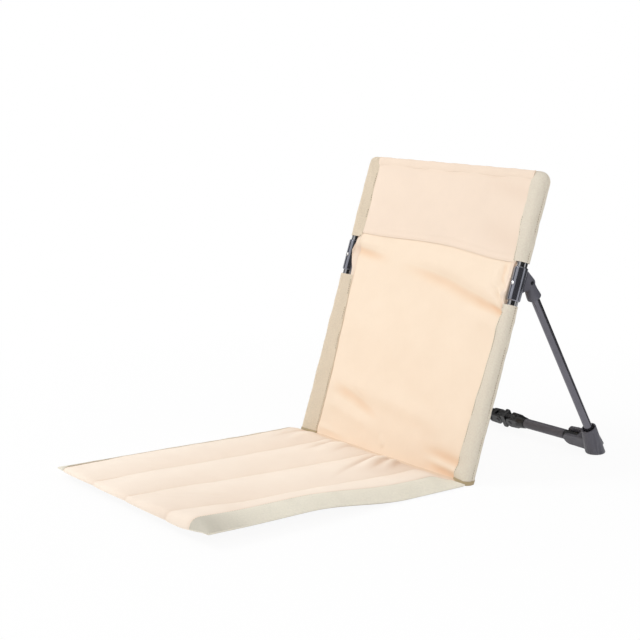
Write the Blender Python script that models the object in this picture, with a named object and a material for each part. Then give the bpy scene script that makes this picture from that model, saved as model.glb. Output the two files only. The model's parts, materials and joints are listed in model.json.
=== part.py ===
"""Folding floor chair: a padded seat mat and a reclined cloth back on two poles, propped by two legs and a
crossbar that folds at its middle. Metres, +Z up, the sitter faces -Y, the sitter's left is +X."""

import math

import bmesh
import bpy
from mathutils import Vector

# Overall form
FABRIC_WIDTH = 0.460
BACK_LENGTH = 0.533  # along the slope of the back
SEAT_LENGTH = 0.518  # front edge to the fold at the back
RECLINE = math.radians(18.3)  # the back, from vertical
LEG_ANGLE = math.radians(30.3)  # the legs, from vertical
GAP = 0.0003  # between pieces that touch
FIT = 0.0003  # round a pin, plug or tube in its hole

# Poles and their end plugs
POLE_RADIUS = 0.009
TUBE_WALL = 0.0012
POLE_END = 0.014  # pole's lower end above the ground, along the slope
POLE_TOP_DROP = 0.020  # pole's upper end below the top of the back
PLUG_LENGTH = 0.013
PLUG_HEAD = 0.003
PLUG_CHAMFER = 0.0018

# Brackets that ride on the poles
BRACKET_RADIUS = 0.0116
BRACKET_LENGTH = 0.058
BRACKET_DROP = 0.008  # its middle below the leg pivot
BRACKET_CHEEK = 0.0034
PIVOT_HEIGHT = 0.349  # leg pivot, along the slope
PIVOT_OFFSET = 0.0235  # leg pivot behind the pole's axis
PIVOT_BOSS = 0.0085
PIN_RADIUS = 0.0025
PIN_HEAD = 0.0042
PIN_HEAD_HEIGHT = 0.0014
RIVET_RADIUS = 0.0018
RIVET_HEAD = 0.0032
DOME_SHARE = 0.8  # where a head's edge turns into its dome, as a share of the head

# Legs
LEG_RADIUS = 0.0075
KNUCKLE_WIDTH = 0.010
KNUCKLE_NOSE = 0.0078
KNUCKLE_LENGTH = 0.042  # pivot to the mouth of its cup
KNUCKLE_MOUTH = 0.0112
KNUCKLE_SOCKET = 0.020  # depth of leg in the cup
MOUTH_RING = 0.0018  # open ring round a leg at a cup's mouth

# Feet
BAR_HEIGHT = 0.020  # crossbar's axis above the ground
FOOT_RIM_HEIGHT = 0.034  # along the leg, above the crossbar's axis
FOOT_RIM_RADIUS = 0.0138
FOOT_RING = 0.0036
FOOT_FUNNEL = 0.014
FOOT_SOLE_X = 0.0172
FOOT_SOLE_Y = 0.0188
FOOT_SOLE_BEVEL = 0.0022
FOOT_HEEL = 0.003  # sole's middle behind the leg's axis
LEG_SEAT = 0.008  # leg's end above the crossbar's axis
ARM_LENGTH = 0.066  # leg's axis to the fork's open end
ARM_RADIUS = 0.0135
ARM_END_RADIUS = 0.0118
ARM_CHEEK = 0.0054
HUMP_RISE = 0.0030  # rear cheek above the front one
FOOT_PIVOT = 0.042  # leg's axis to the bar's pivot

# Crossbar and its middle hinge
BAR_RADIUS = 0.009
TONGUE_WIDTH = 0.010
TONGUE_NOSE = 0.0085
SLOT_FLOOR = 0.0094  # below the pivot
COLLAR = 0.0022
BAR_PLUG = 0.020
HINGE_OFFSET = 0.016  # hinge pins from the middle
FORK_NOSE = 0.010
FORK_CHEEK = 0.005
FORK_LENGTH = 0.034  # pin to the end of its taper
FORK_FLARE = 0.0020  # shoulder beyond the fork's own corners
BLOCK_HEIGHT = 0.028
BLOCK_CORNER = 0.003

# Cloth sleeves round the poles
SLEEVE_WALL = 0.0018
SLEEVE_TAIL = 0.017  # pole's axis to the sleeve's sewn edge
SLEEVE_TAIL_FORWARD = 0.004
SLEEVE_SEAM = 0.0016  # half the thickness of the sewn edge
WINDOW_MARGIN = 0.008  # bare pole above and below a bracket
SLEEVE_CORNER = 0.020
CORNER_SHARES = (0, 0.35, 0.62, 0.82, 0.94)  # heights of the rings that round the top corner
CORNER_FLATTEN = 0.6  # how much the corner flattens as it is drawn in
BINDING_HEIGHT = 0.0024
BINDING_PROUD = 0.0006

# Cloth of the back
CLOTH = 0.0018
BACK_SAG = 0.008
HEADREST_RISE = 0.006  # headrest's lower edge above the windows
HEM_HEIGHT = 0.015
HEM_THICKNESS = 0.0052
WINDOW_SCOOP = 0.007
STRIP_HEIGHT = 0.0022
# Drag folds: ends as shares of half the width and of the height, then width and height
BACK_FOLDS = (
    ((-0.98, 0.66), (0.10, 0.52), 0.020, 0.0040),
    ((-0.95, 0.60), (-0.10, 0.36), 0.022, 0.0030),
    ((0.98, 0.66), (0.35, 0.56), 0.018, 0.0040),
    ((0.97, 0.60), (0.45, 0.44), 0.018, 0.0032),
    ((0.96, 0.08), (0.20, 0.16), 0.020, 0.0036),
    ((-0.96, 0.08), (-0.35, 0.15), 0.020, 0.0030),
)

# Seat mat
SEAT_GAP = 0.0015
BASE_THICKNESS = 0.0016
CHANNELS = 4
BORDER_WIDTH = 0.034
BORDER_EDGE = 0.0030
BORDER_BULGE = (0.55, 0.62)  # a point of its slope, as shares of the width and of the rise
CHANNEL_SEAM = 0.0175  # thickness at the sewn lines
CHANNEL_CROWN = 0.0095  # crown above the sewn lines
SEAT_EDGE = 0.0040
FRONT_TAPER = 0.026
FRONT_START = 0.0052  # depth of the taper that the front edge leaves out
REAR_TAPER = 0.090
SIDE_PULL = 0.0025  # sides drawn in between the corners
FRONT_LIFT = 0.012  # front edge off the ground
SIDE_LIFT = {"left": 0.018, "right": 0.002}  # outer edges off the ground
CURL_WIDTH = 0.110  # strip along each side that lifts
CURL_FRONT = 0.160  # depth of the strip that lifts at the front
CURL_REAR = 0.080  # flat at the fold
CURL_RUN = 0.220  # length over which a side reaches its lift
CURL_BLEND = 3  # power that blends the lifts at a corner

# Facets
ROUND = 20
FINE = 24
SMALL = 12
BACK_COLUMNS = 20
BACK_ROWS = 19
HEADREST_ROWS = 6
CHANNEL_COLUMNS = 8
SEAT_ROWS = (0, 0.02, 0.05, 0.12, 0.22, 0.32, 0.41, 0.5, 0.6, 0.7, 0.82, 0.9, 0.95, 1)  # shares of its length

# What follows from the sizes above
SLEEVE_RADIUS = POLE_RADIUS + FIT + SLEEVE_WALL
POLE_X = FABRIC_WIDTH / 2 - SLEEVE_RADIUS
BRACKET_HEIGHT = PIVOT_HEIGHT - BRACKET_DROP
WINDOW_BOTTOM = BRACKET_HEIGHT - BRACKET_LENGTH / 2 - WINDOW_MARGIN
WINDOW_TOP = BRACKET_HEIGHT + BRACKET_LENGTH / 2 + WINDOW_MARGIN
HEADREST_BOTTOM = WINDOW_TOP + HEADREST_RISE
PIVOT_RISE = PIVOT_HEIGHT * math.cos(RECLINE) - PIVOT_OFFSET * math.sin(RECLINE)
PIVOT_BACK = PIVOT_HEIGHT * math.sin(RECLINE) + PIVOT_OFFSET * math.cos(RECLINE)
LEG_LENGTH = (PIVOT_RISE - BAR_HEIGHT) / math.cos(LEG_ANGLE)
FOOT_BACK = PIVOT_BACK + LEG_LENGTH * math.sin(LEG_ANGLE)
SEAM_Y = (SEAT_LENGTH - FOOT_BACK - FOOT_HEEL - FOOT_SOLE_Y) / 2  # puts the origin under the middle
BAR_LENGTH = POLE_X - FOOT_PIVOT - HINGE_OFFSET  # between a half bar's two pivots
SLOT_WIDTH = TONGUE_WIDTH + 2 * FIT
ARM_WIDTH = SLOT_WIDTH + 2 * ARM_CHEEK
BLOCK_TONGUE = TONGUE_WIDTH
FORK_WIDTH = BLOCK_TONGUE + 2 * FIT + 2 * FORK_CHEEK
CLEVIS_WIDTH = KNUCKLE_WIDTH + 2 * FIT + 2 * BRACKET_CHEEK
PANEL_X = POLE_X - SLEEVE_TAIL - SLEEVE_SEAM - GAP
PANEL_TOP = BACK_LENGTH - HEM_HEIGHT - GAP
PANEL_BOTTOM = (STRIP_HEIGHT + 2 * GAP + CLOTH) / math.cos(RECLINE)
SEAT_REAR_Y = SEAM_Y - (SLEEVE_RADIUS + BINDING_PROUD) / math.cos(RECLINE) - SEAT_GAP
SEAT_FRONT_Y = SEAM_Y - SEAT_LENGTH
PAD_X = FABRIC_WIDTH / 2 - BORDER_WIDTH
ON_POLE = (0, -PIVOT_OFFSET, -PIVOT_HEIGHT)  # pole's axis at the ground, seen from the leg's pivot
SIDES = {"left": 1, "right": -1}


def material(name, colour, roughness, metallic=0.0):
    made = bpy.data.materials.new(name)
    made.use_nodes = True
    shader = made.node_tree.nodes["Principled BSDF"]
    shader.inputs["Base Color"].default_value = (*colour, 1.0)
    shader.inputs["Roughness"].default_value = roughness
    shader.inputs["Metallic"].default_value = metallic
    made.diffuse_color = (*colour, 1.0)
    return made


def empty(name, parent=None, location=(0, 0, 0), tilt=0.0):
    made = bpy.data.objects.new(name, None)
    made.empty_display_size = 0.03
    made.parent = parent
    made.location = location
    made.rotation_euler = (tilt, 0, 0)
    bpy.context.scene.collection.objects.link(made)
    return made


def piece(name, shape, finish, parent, location=(0, 0, 0)):
    mesh = bpy.data.meshes.new(name)
    shape.to_mesh(mesh)
    shape.free()
    mesh.materials.append(finish)
    mesh.shade_smooth()
    mesh.set_sharp_from_angle(angle=math.radians(40))
    made = bpy.data.objects.new(name, mesh)
    made.parent = parent
    made.location = location
    bpy.context.scene.collection.objects.link(made)
    return made


def combine(target, shape, operation):
    """Adds or cuts a helper shape, which stays hidden in the target's own frame."""
    order = len(target.modifiers) + 1
    helper = piece(f"{target.name}_{operation.lower()}_{order}", shape, target.data.materials[0], target)
    helper.hide_render = True
    helper.display_type = "WIRE"
    modifier = target.modifiers.new(f"{operation.title()} {order}", "BOOLEAN")
    modifier.operation = operation
    modifier.object = helper
    return target


def cut(target, shape):
    return combine(target, shape, "DIFFERENCE")


def join(target, shape):
    return combine(target, shape, "UNION")


def faced_out(shape):
    shape.normal_update()
    bmesh.ops.recalc_face_normals(shape, faces=shape.faces)
    if shape.calc_volume(signed=True) < 0:
        bmesh.ops.reverse_faces(shape, faces=shape.faces)
    return shape


def turned(profile, axis="Z", segments=ROUND, loop=False):
    """A profile of (radius, height) spun about an axis; loop closes it, as for a tube."""
    shape = bmesh.new()
    points = [shape.verts.new((radius, 0, height)) for radius, height in profile]
    edges = [shape.edges.new(pair) for pair in zip(points, points[1:])]
    if loop:
        edges.append(shape.edges.new((points[-1], points[0])))
    bmesh.ops.spin(
        shape, geom=points + edges, cent=(0, 0, 0), axis=(0, 0, 1),
        angle=2 * math.pi, steps=segments, use_merge=True,
    )
    bmesh.ops.remove_doubles(shape, verts=shape.verts, dist=1e-6)
    for vert in shape.verts:
        x, y, z = vert.co
        vert.co = {"X": (z, x, y), "Y": (y, z, x), "Z": (x, y, z)}[axis]
    return faced_out(shape)


def rod(radius, low, high, axis="Z", segments=ROUND):
    return turned([(0, high), (radius, high), (radius, low), (0, low)], axis, segments)


def tube(radius, low, high, axis="Z"):
    inner = radius - TUBE_WALL
    return turned([(radius, high), (radius, low), (inner, low), (inner, high)], axis, ROUND, loop=True)


def hull(circles, steps=FINE):
    """The outline round a few circles of (x, y, radius)."""
    points = sorted(
        (x + radius * math.cos(2 * math.pi * k / steps), y + radius * math.sin(2 * math.pi * k / steps))
        for x, y, radius in circles
        for k in range(steps)
    )

    def half(ordered):
        chain = []
        for point in ordered:
            while len(chain) > 1 and turn(chain[-2], chain[-1], point) <= 1e-10:
                chain.pop()
            chain.append(point)
        return chain[:-1]

    return half(points) + half(points[::-1])


def turn(a, b, c):
    return (b[0] - a[0]) * (c[1] - a[1]) - (b[1] - a[1]) * (c[0] - a[0])


def prism(outline, axis, low, high):
    """An outline extruded along one axis; its points lie in the other two axes, in XYZ order."""
    shape = bmesh.new()
    order = "XYZ".index(axis)
    corners = []
    for a, b in outline:
        place = [a, b]
        place.insert(order, low)
        corners.append(shape.verts.new(place))
    grown = bmesh.ops.extrude_face_region(shape, geom=[shape.faces.new(corners)])
    step = Vector([high - low if name == axis else 0 for name in "XYZ"])
    raised = [item for item in grown["geom"] if isinstance(item, bmesh.types.BMVert)]
    bmesh.ops.translate(shape, verts=raised, vec=step)
    return faced_out(shape)


def block(low, high):
    outline = [(low[0], low[1]), (high[0], low[1]), (high[0], high[1]), (low[0], high[1])]
    return prism(outline, "Z", low[2], high[2])


def loft(rings):
    """A closed skin over rings of equally many points, with flat ends."""
    shape = bmesh.new()
    rows = [[shape.verts.new(point) for point in ring] for ring in rings]
    for lower, upper in zip(rows, rows[1:]):
        for k in range(len(lower)):
            shape.faces.new((lower[k - 1], lower[k], upper[k], upper[k - 1]))
    shape.faces.new(rows[0])
    shape.faces.new(rows[-1])
    return faced_out(shape)


def sheet(columns, rows, front, back):
    """A closed solid between two surfaces of a column and a row, both split into triangles alike."""
    shape = bmesh.new()
    faces = []
    for surface in (front, back):
        faces.append([[shape.verts.new(surface(c, r)) for c in columns] for r in rows])
    for grid in faces:
        for r in range(len(rows) - 1):
            for c in range(len(columns) - 1):
                low, next_low = grid[r][c : c + 2]
                high, next_high = grid[r + 1][c : c + 2]
                shape.faces.new((low, next_low, next_high))
                shape.faces.new((low, next_high, high))
    rims = []
    for grid in faces:
        right = [row[-1] for row in grid[1:-1]]
        left = [row[0] for row in grid[-2:0:-1]]
        rims.append(grid[0] + right + grid[-1][::-1] + left)
    for k in range(len(rims[0])):
        shape.faces.new((rims[0][k - 1], rims[0][k], rims[1][k], rims[1][k - 1]))
    return faced_out(shape)


def spread(low, high, count):
    return [low + (high - low) * k / count for k in range(count + 1)]


def ease(share):
    share = min(max(share, 0.0), 1.0)
    return share * share * (3 - 2 * share)


def pin(low, high, axis, front_head=True):
    """A riveted pin with a domed head outside each face that it passes, or outside the far one only."""
    edge = PIN_HEAD_HEIGHT * DOME_SHARE
    dome = [(0, PIN_HEAD_HEIGHT), (PIN_HEAD * DOME_SHARE, edge), (PIN_HEAD, GAP), (PIN_RADIUS, GAP)]
    profile = [(radius, high + out) for radius, out in dome]
    if front_head:
        profile += [(radius, low - out) for radius, out in dome[::-1]]
    else:
        profile += [(PIN_RADIUS, low), (0, low)]
    return turned(profile, axis, SMALL)


def on_back(x, behind, along):
    """World point of a place on the reclined back."""
    y = SEAM_Y + behind * math.cos(RECLINE) + along * math.sin(RECLINE)
    return x, y, along * math.cos(RECLINE) - behind * math.sin(RECLINE)


def on_leg(x, y, z):
    """A point beside the foot of a leg, in the leg's tilted frame, from level offsets."""
    lean = math.cos(LEG_ANGLE), math.sin(LEG_ANGLE)
    return x, y * lean[0] + z * lean[1], z * lean[0] - y * lean[1]


def moved(shape, x=0.0, y=0.0, z=0.0):
    bmesh.ops.translate(shape, verts=shape.verts, vec=(x, y, z))
    return shape


def ring(count, point):
    return [point(2 * math.pi * k / count) for k in range(count)]


def between(low, high, share):
    return [Vector(a).lerp(Vector(b), share) for a, b in zip(low, high)]


class Frames:
    """The empties that carry the pieces, each on the axis about which its pieces turn."""

    def __init__(self):
        self.chair = empty("chair")
        self.back = empty("back_frame", self.chair, (0, SEAM_Y, 0), -RECLINE)
        self.seat = empty("seat_frame", self.chair, (0, SEAT_REAR_Y, 0))
        middle = (0, SEAM_Y + FOOT_BACK, BAR_HEIGHT)
        self.hinge = empty("hinge_frame", self.chair, middle, LEG_ANGLE)
        self.side, self.leg, self.bar = {}, {}, {}
        for side, sign in SIDES.items():
            pivot = (sign * POLE_X, PIVOT_OFFSET, PIVOT_HEIGHT)
            self.side[side] = empty(f"{side}_side_frame", self.back, pivot)
            self.leg[side] = empty(f"{side}_leg_frame", self.chair, on_back(*pivot), LEG_ANGLE)
            inner = (sign * (POLE_X - FOOT_PIVOT), middle[1], middle[2])
            self.bar[side] = empty(f"{side}_bar_frame", self.chair, inner, LEG_ANGLE)


def make_pole(side, frame, tubing, plastic):
    high = BACK_LENGTH - POLE_TOP_DROP
    pole = piece(f"pole_{side}", tube(POLE_RADIUS, POLE_END, high), tubing, frame, ON_POLE)
    cut(pole, moved(rod(RIVET_RADIUS + FIT, -2 * POLE_RADIUS, 0, "Y", SMALL), z=BRACKET_HEIGHT))
    stem = POLE_RADIUS - TUBE_WALL - FIT
    for name, end, out in (("bottom", POLE_END, -1), ("top", high, 1)):
        face = GAP + PLUG_HEAD
        profile = [
            (0, end + out * face),
            (POLE_RADIUS - PLUG_CHAMFER, end + out * face),
            (POLE_RADIUS, end + out * (face - PLUG_CHAMFER)),
            (POLE_RADIUS, end + out * GAP),
            (stem, end + out * GAP),
            (stem, end - out * PLUG_LENGTH),
            (0, end - out * PLUG_LENGTH),
        ]
        piece(f"pole_{name}_plug_{side}", turned(profile, segments=SMALL), plastic, frame, ON_POLE)


def make_bracket(side, frame, plastic, steel):
    low = BRACKET_HEIGHT - BRACKET_LENGTH / 2
    high = BRACKET_HEIGHT + BRACKET_LENGTH / 2
    edge = BRACKET_RADIUS - POLE_RADIUS
    narrow = BRACKET_RADIUS - edge / 2
    profile = [(0, high), (narrow, high), (BRACKET_RADIUS, high - edge)]
    profile += [(BRACKET_RADIUS, low + edge), (narrow, low), (0, low)]
    bracket = piece(f"bracket_{side}", turned(profile, segments=FINE), plastic, frame, ON_POLE)
    root = POLE_RADIUS / 2
    outline = hull([
        (root, low + 2 * PIVOT_BOSS, edge),
        (root, high - 2 * edge, edge),
        (PIVOT_OFFSET, PIVOT_HEIGHT, PIVOT_BOSS),
    ])
    join(bracket, prism(outline, "X", -CLEVIS_WIDTH / 2, CLEVIS_WIDTH / 2))
    half = KNUCKLE_WIDTH / 2 + FIT
    deep = PIVOT_OFFSET + 2 * PIVOT_BOSS
    cut(bracket, block((-half, BRACKET_RADIUS + FIT, low - edge), (half, deep, high + edge)))
    cut(bracket, rod(POLE_RADIUS + FIT, low - edge, high + edge, segments=FINE))
    hole = rod(PIN_RADIUS + FIT, -CLEVIS_WIDTH, CLEVIS_WIDTH, "X", SMALL)
    cut(bracket, moved(hole, y=PIVOT_OFFSET, z=PIVOT_HEIGHT))
    cut(bracket, moved(rod(RIVET_RADIUS + FIT, -2 * BRACKET_RADIUS, 0, "Y", SMALL), z=BRACKET_HEIGHT))
    face = -BRACKET_RADIUS - GAP
    rivet = [
        (0, face - RIVET_RADIUS),
        (RIVET_HEAD * DOME_SHARE, face - RIVET_RADIUS * DOME_SHARE),
        (RIVET_HEAD, face),
        (RIVET_RADIUS, face),
        (RIVET_RADIUS, -POLE_RADIUS + TUBE_WALL),
        (0, -POLE_RADIUS + TUBE_WALL),
    ]
    made = piece(f"bracket_rivet_{side}", turned(rivet, "Y", SMALL), steel, frame, ON_POLE)
    made.location.z += BRACKET_HEIGHT
    piece(f"leg_pin_{side}", pin(-CLEVIS_WIDTH / 2, CLEVIS_WIDTH / 2, "X"), steel, frame)


def make_leg(side, frame, tubing, plastic):
    socket = -KNUCKLE_LENGTH + KNUCKLE_SOCKET
    shoulder = socket + LEG_RADIUS / 2
    outline = hull([(0, 0, KNUCKLE_NOSE), (0, socket, LEG_RADIUS + 3 * FIT)])
    fin = prism(outline, "X", -KNUCKLE_WIDTH / 2, KNUCKLE_WIDTH / 2)
    knuckle = piece(f"leg_knuckle_{side}", fin, plastic, frame)
    cup = [
        (0, shoulder),
        (LEG_RADIUS, shoulder),
        (KNUCKLE_MOUTH, -KNUCKLE_LENGTH + FIT),
        (KNUCKLE_MOUTH - FIT, -KNUCKLE_LENGTH),
        (0, -KNUCKLE_LENGTH),
    ]
    join(knuckle, turned(cup, segments=FINE))
    cut(knuckle, rod(LEG_RADIUS + FIT, -2 * KNUCKLE_LENGTH, socket, segments=ROUND))
    ring_depth = -KNUCKLE_LENGTH + KNUCKLE_SOCKET / 5
    cut(knuckle, rod(LEG_RADIUS + MOUTH_RING, -2 * KNUCKLE_LENGTH, ring_depth, segments=ROUND))
    cut(knuckle, rod(PIN_RADIUS + FIT, -KNUCKLE_WIDTH, KNUCKLE_WIDTH, "X", SMALL))
    piece(f"leg_{side}", tube(LEG_RADIUS, LEG_SEAT - LEG_LENGTH, socket - GAP), tubing, frame)


def make_foot(side, sign, frame, plastic, steel):
    place = (0, 0, -LEG_LENGTH)

    def level(reach_x, reach_y, height):
        return ring(FINE, lambda a: on_leg(
            reach_x * math.cos(a), FOOT_HEEL + reach_y * math.sin(a), height - BAR_HEIGHT))

    def square(radius, height):
        return ring(FINE, lambda a: (radius * math.cos(a), radius * math.sin(a), height))

    sole = level(FOOT_SOLE_X - FOOT_SOLE_BEVEL, FOOT_SOLE_Y - FOOT_SOLE_BEVEL, 0)
    base = level(FOOT_SOLE_X, FOOT_SOLE_Y, FOOT_SOLE_BEVEL)
    rim = square(FOOT_RIM_RADIUS, FOOT_RIM_HEIGHT - FIT)
    lip = square(FOOT_RIM_RADIUS - FIT, FOOT_RIM_HEIGHT)
    rings = [sole, base, between(base, rim, 0.5), rim, lip]
    foot = piece(f"foot_{side}", loft(rings), plastic, frame, place)

    half = ARM_WIDTH / 2
    inward = -sign
    ends = [(0, 0, ARM_RADIUS), (inward * (ARM_LENGTH - ARM_END_RADIUS), 0, ARM_END_RADIUS)]
    join(foot, prism(hull(ends), "Y", -half, half))
    crest = [
        (inward * (FOOT_PIVOT - ARM_END_RADIUS), HUMP_RISE, ARM_RADIUS),
        (inward * (FOOT_PIVOT + ARM_END_RADIUS), HUMP_RISE, ARM_END_RADIUS),
    ]
    join(foot, prism(hull(crest), "Y", SLOT_WIDTH / 2 + FIT, half + FIT))
    root = FOOT_PIVOT - TONGUE_NOSE - 4 * FIT
    low_x, high_x = sorted((inward * root, inward * 2 * ARM_LENGTH))
    cut(foot, block((low_x, -SLOT_WIDTH / 2, -SLOT_FLOOR), (high_x, SLOT_WIDTH / 2, 2 * ARM_RADIUS)))
    bore = LEG_RADIUS + FIT
    funnel = [
        (0, 2 * FOOT_RIM_HEIGHT),
        (LEG_RADIUS + FOOT_RING, 2 * FOOT_RIM_HEIGHT),
        (LEG_RADIUS + FOOT_RING, FOOT_RIM_HEIGHT - FIT),
        (bore, FOOT_RIM_HEIGHT - FOOT_FUNNEL),
        (bore, LEG_SEAT - GAP),
        (0, LEG_SEAT - GAP),
    ]
    cut(foot, turned(funnel, segments=ROUND))
    blind = -SLOT_WIDTH / 2 - ARM_CHEEK / 2
    cut(foot, moved(rod(PIN_RADIUS + FIT, blind, 2 * ARM_WIDTH, "Y", SMALL), x=inward * FOOT_PIVOT))
    made = piece(f"foot_pin_{side}", pin(blind + GAP, half + FIT, "Y", front_head=False), steel, frame, place)
    made.location.x += inward * FOOT_PIVOT


def make_half_bar(side, sign, frame, tubing, plastic):
    """One half of the crossbar: it lies along X from the foot's pivot to the middle hinge's pin."""
    inward = -sign
    inner = BAR_RADIUS - TUBE_WALL - FIT
    start = ARM_LENGTH - FOOT_PIVOT + 3 * FIT
    mouth = start + COLLAR
    finish = BAR_LENGTH - FORK_LENGTH

    def along(profile, segments=ROUND):
        return turned([(radius, inward * place) for radius, place in profile], "X", segments)

    corner = COLLAR - FIT
    roots = [(inward * start, z, corner) for z in (corner - inner, inner - corner)]
    tongue = prism(hull([(0, 0, TONGUE_NOSE)] + roots), "Y", -TONGUE_WIDTH / 2, TONGUE_WIDTH / 2)
    fitting = piece(f"crossbar_tongue_{side}", tongue, plastic, frame)
    plug = [(0, start), (BAR_RADIUS, start), (BAR_RADIUS, mouth), (inner, mouth)]
    join(fitting, along(plug + [(inner, mouth + BAR_PLUG), (0, mouth + BAR_PLUG)]))
    cut(fitting, rod(PIN_RADIUS + FIT, -TONGUE_WIDTH, TONGUE_WIDTH, "Y", SMALL))

    ends = sorted((inward * (mouth + GAP), inward * (finish - GAP)))
    piece(f"crossbar_{side}", tube(BAR_RADIUS, ends[0], ends[1], "X"), tubing, frame)

    neck = BAR_LENGTH - FORK_LENGTH / 2
    outline = hull([(inward * BAR_LENGTH, 0, FORK_NOSE), (inward * neck, 0, BAR_RADIUS)])
    prongs = prism(outline, "Y", -FORK_WIDTH / 2, FORK_WIDTH / 2)
    fork = piece(f"crossbar_fork_{side}", prongs, plastic, frame)
    taper = [
        (0, finish - BAR_PLUG),
        (inner, finish - BAR_PLUG),
        (inner, finish),
        (BAR_RADIUS + TUBE_WALL, finish),
        (FORK_WIDTH / 2 + FORK_FLARE, neck),
        (0, neck),
    ]
    join(fork, along(taper))
    slot_root = BAR_LENGTH - FORK_NOSE - 2 * FIT
    low_x, high_x = sorted((inward * slot_root, inward * 2 * BAR_LENGTH))
    half = BLOCK_TONGUE / 2 + FIT
    cut(fork, block((low_x, -half, -3 * FORK_NOSE), (high_x, half, 3 * FORK_NOSE)))
    cut(fork, moved(rod(PIN_RADIUS + FIT, -FORK_WIDTH, FORK_WIDTH, "Y", SMALL), x=inward * BAR_LENGTH))


def make_middle_hinge(frame, plastic, steel):
    half = HINGE_OFFSET - FORK_NOSE - 2 * FIT
    corner_x = half - BLOCK_CORNER
    corner_z = BLOCK_HEIGHT / 2 - BLOCK_CORNER
    corners = [(x, z, BLOCK_CORNER) for x in (-corner_x, corner_x) for z in (-corner_z, corner_z)]
    middle = prism(hull(corners), "Y", -FORK_WIDTH / 2, FORK_WIDTH / 2)
    body = piece("crossbar_hinge_block", middle, plastic, frame)
    ears = hull([(-HINGE_OFFSET, 0, FORK_NOSE), (HINGE_OFFSET, 0, FORK_NOSE)])
    join(body, prism(ears, "Y", -BLOCK_TONGUE / 2, BLOCK_TONGUE / 2))
    for side, sign in SIDES.items():
        hole = rod(PIN_RADIUS + FIT, -FORK_WIDTH, FORK_WIDTH, "Y", SMALL)
        cut(body, moved(hole, x=sign * HINGE_OFFSET))
        made = piece(f"crossbar_hinge_pin_{side}", pin(-FORK_WIDTH / 2, FORK_WIDTH / 2, "Y"), steel, frame)
        made.location.x = sign * HINGE_OFFSET


def sleeve_outline(sign, proud=0.0):
    tail = (-sign * SLEEVE_TAIL, -SLEEVE_TAIL_FORWARD, SLEEVE_SEAM + proud)
    return hull([(0, 0, SLEEVE_RADIUS + proud), tail])


def level_ring(outline, height):
    """The outline cut level at a height above the ground, in the frame of the reclined back."""
    rise = height / math.cos(RECLINE)
    return [(x, y, rise + y * math.tan(RECLINE)) for x, y in outline]


def make_sleeves(side, sign, frame, webbing, binding):
    """Pockets of cloth for the two ends of a pole, open towards the bracket between them."""
    outline = sleeve_outline(sign)
    floor = BINDING_HEIGHT + GAP
    flat = [(x, y, WINDOW_BOTTOM) for x, y in outline]
    foot = level_ring(outline, floor)
    rings = [foot, between(foot, flat, 1 / 3), between(foot, flat, 2 / 3), flat]
    lower = piece(f"lower_sleeve_{side}", loft(rings), webbing, frame, ON_POLE)
    pocket = POLE_END - GAP - PLUG_HEAD - GAP
    cut(lower, rod(POLE_RADIUS + FIT, pocket, 2 * WINDOW_BOTTOM, segments=ROUND))

    def level(height, round_share):
        """Rounds the outer top corner by drawing the pole's side of the outline inwards."""
        draw = SLEEVE_CORNER * (1 - math.sqrt(max(0.0, 1 - round_share * round_share)))
        keep = 1 - draw / (SLEEVE_RADIUS + SLEEVE_TAIL)
        anchor = -sign * SLEEVE_TAIL
        flatter = 1 - CORNER_FLATTEN * (1 - keep)
        return [(anchor + (x - anchor) * keep, y * flatter, height) for x, y in outline]

    corner = BACK_LENGTH - SLEEVE_CORNER
    rings = [level(WINDOW_TOP, 0), level((WINDOW_TOP + corner) / 2, 0)]
    rings += [level(corner + SLEEVE_CORNER * share, share) for share in CORNER_SHARES]
    upper = piece(f"upper_sleeve_{side}", loft(rings), webbing, frame, ON_POLE)
    top = BACK_LENGTH - POLE_TOP_DROP + GAP + PLUG_HEAD + GAP
    cut(upper, rod(POLE_RADIUS + FIT, 0, top, segments=ROUND))

    edge = sleeve_outline(sign, BINDING_PROUD)
    made = loft([level_ring(edge, 0), level_ring(edge, BINDING_HEIGHT)])
    piece(f"sleeve_binding_{side}", made, binding, frame, ON_POLE)


def fold_height(x, along):
    """Height of the drag folds that run over the back from the brackets and from the lower corners."""
    total = 0.0
    for start, end, width, height in BACK_FOLDS:
        first = Vector((start[0] * PANEL_X, start[1] * BACK_LENGTH))
        last = Vector((end[0] * PANEL_X, end[1] * BACK_LENGTH))
        run = last - first
        offset = Vector((x, along)) - first
        share = offset.dot(run) / run.length_squared
        if 0 < share < 1:
            across = offset.cross(run) / run.length
            total += height * math.sin(math.pi * share) * math.exp(-((across / width) ** 2))
    return total


def back_depth(x, along):
    """How far the cloth of the back lies behind the poles' axes."""
    share = (along - PANEL_BOTTOM) / (PANEL_TOP - PANEL_BOTTOM)
    belly = (1 - (x / PANEL_X) ** 2) * math.sin(math.pi * min(max(share, 0), 1))
    return BACK_SAG * belly - fold_height(x, along) - SLEEVE_TAIL_FORWARD


def panel_edge(along):
    """Half the width of the panel, which is scooped out beside the brackets."""
    middle = (WINDOW_BOTTOM + WINDOW_TOP) / 2
    share = abs(along - middle) / (WINDOW_TOP - WINDOW_BOTTOM)
    return PANEL_X - WINDOW_SCOOP * (1 - ease(share))


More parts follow.
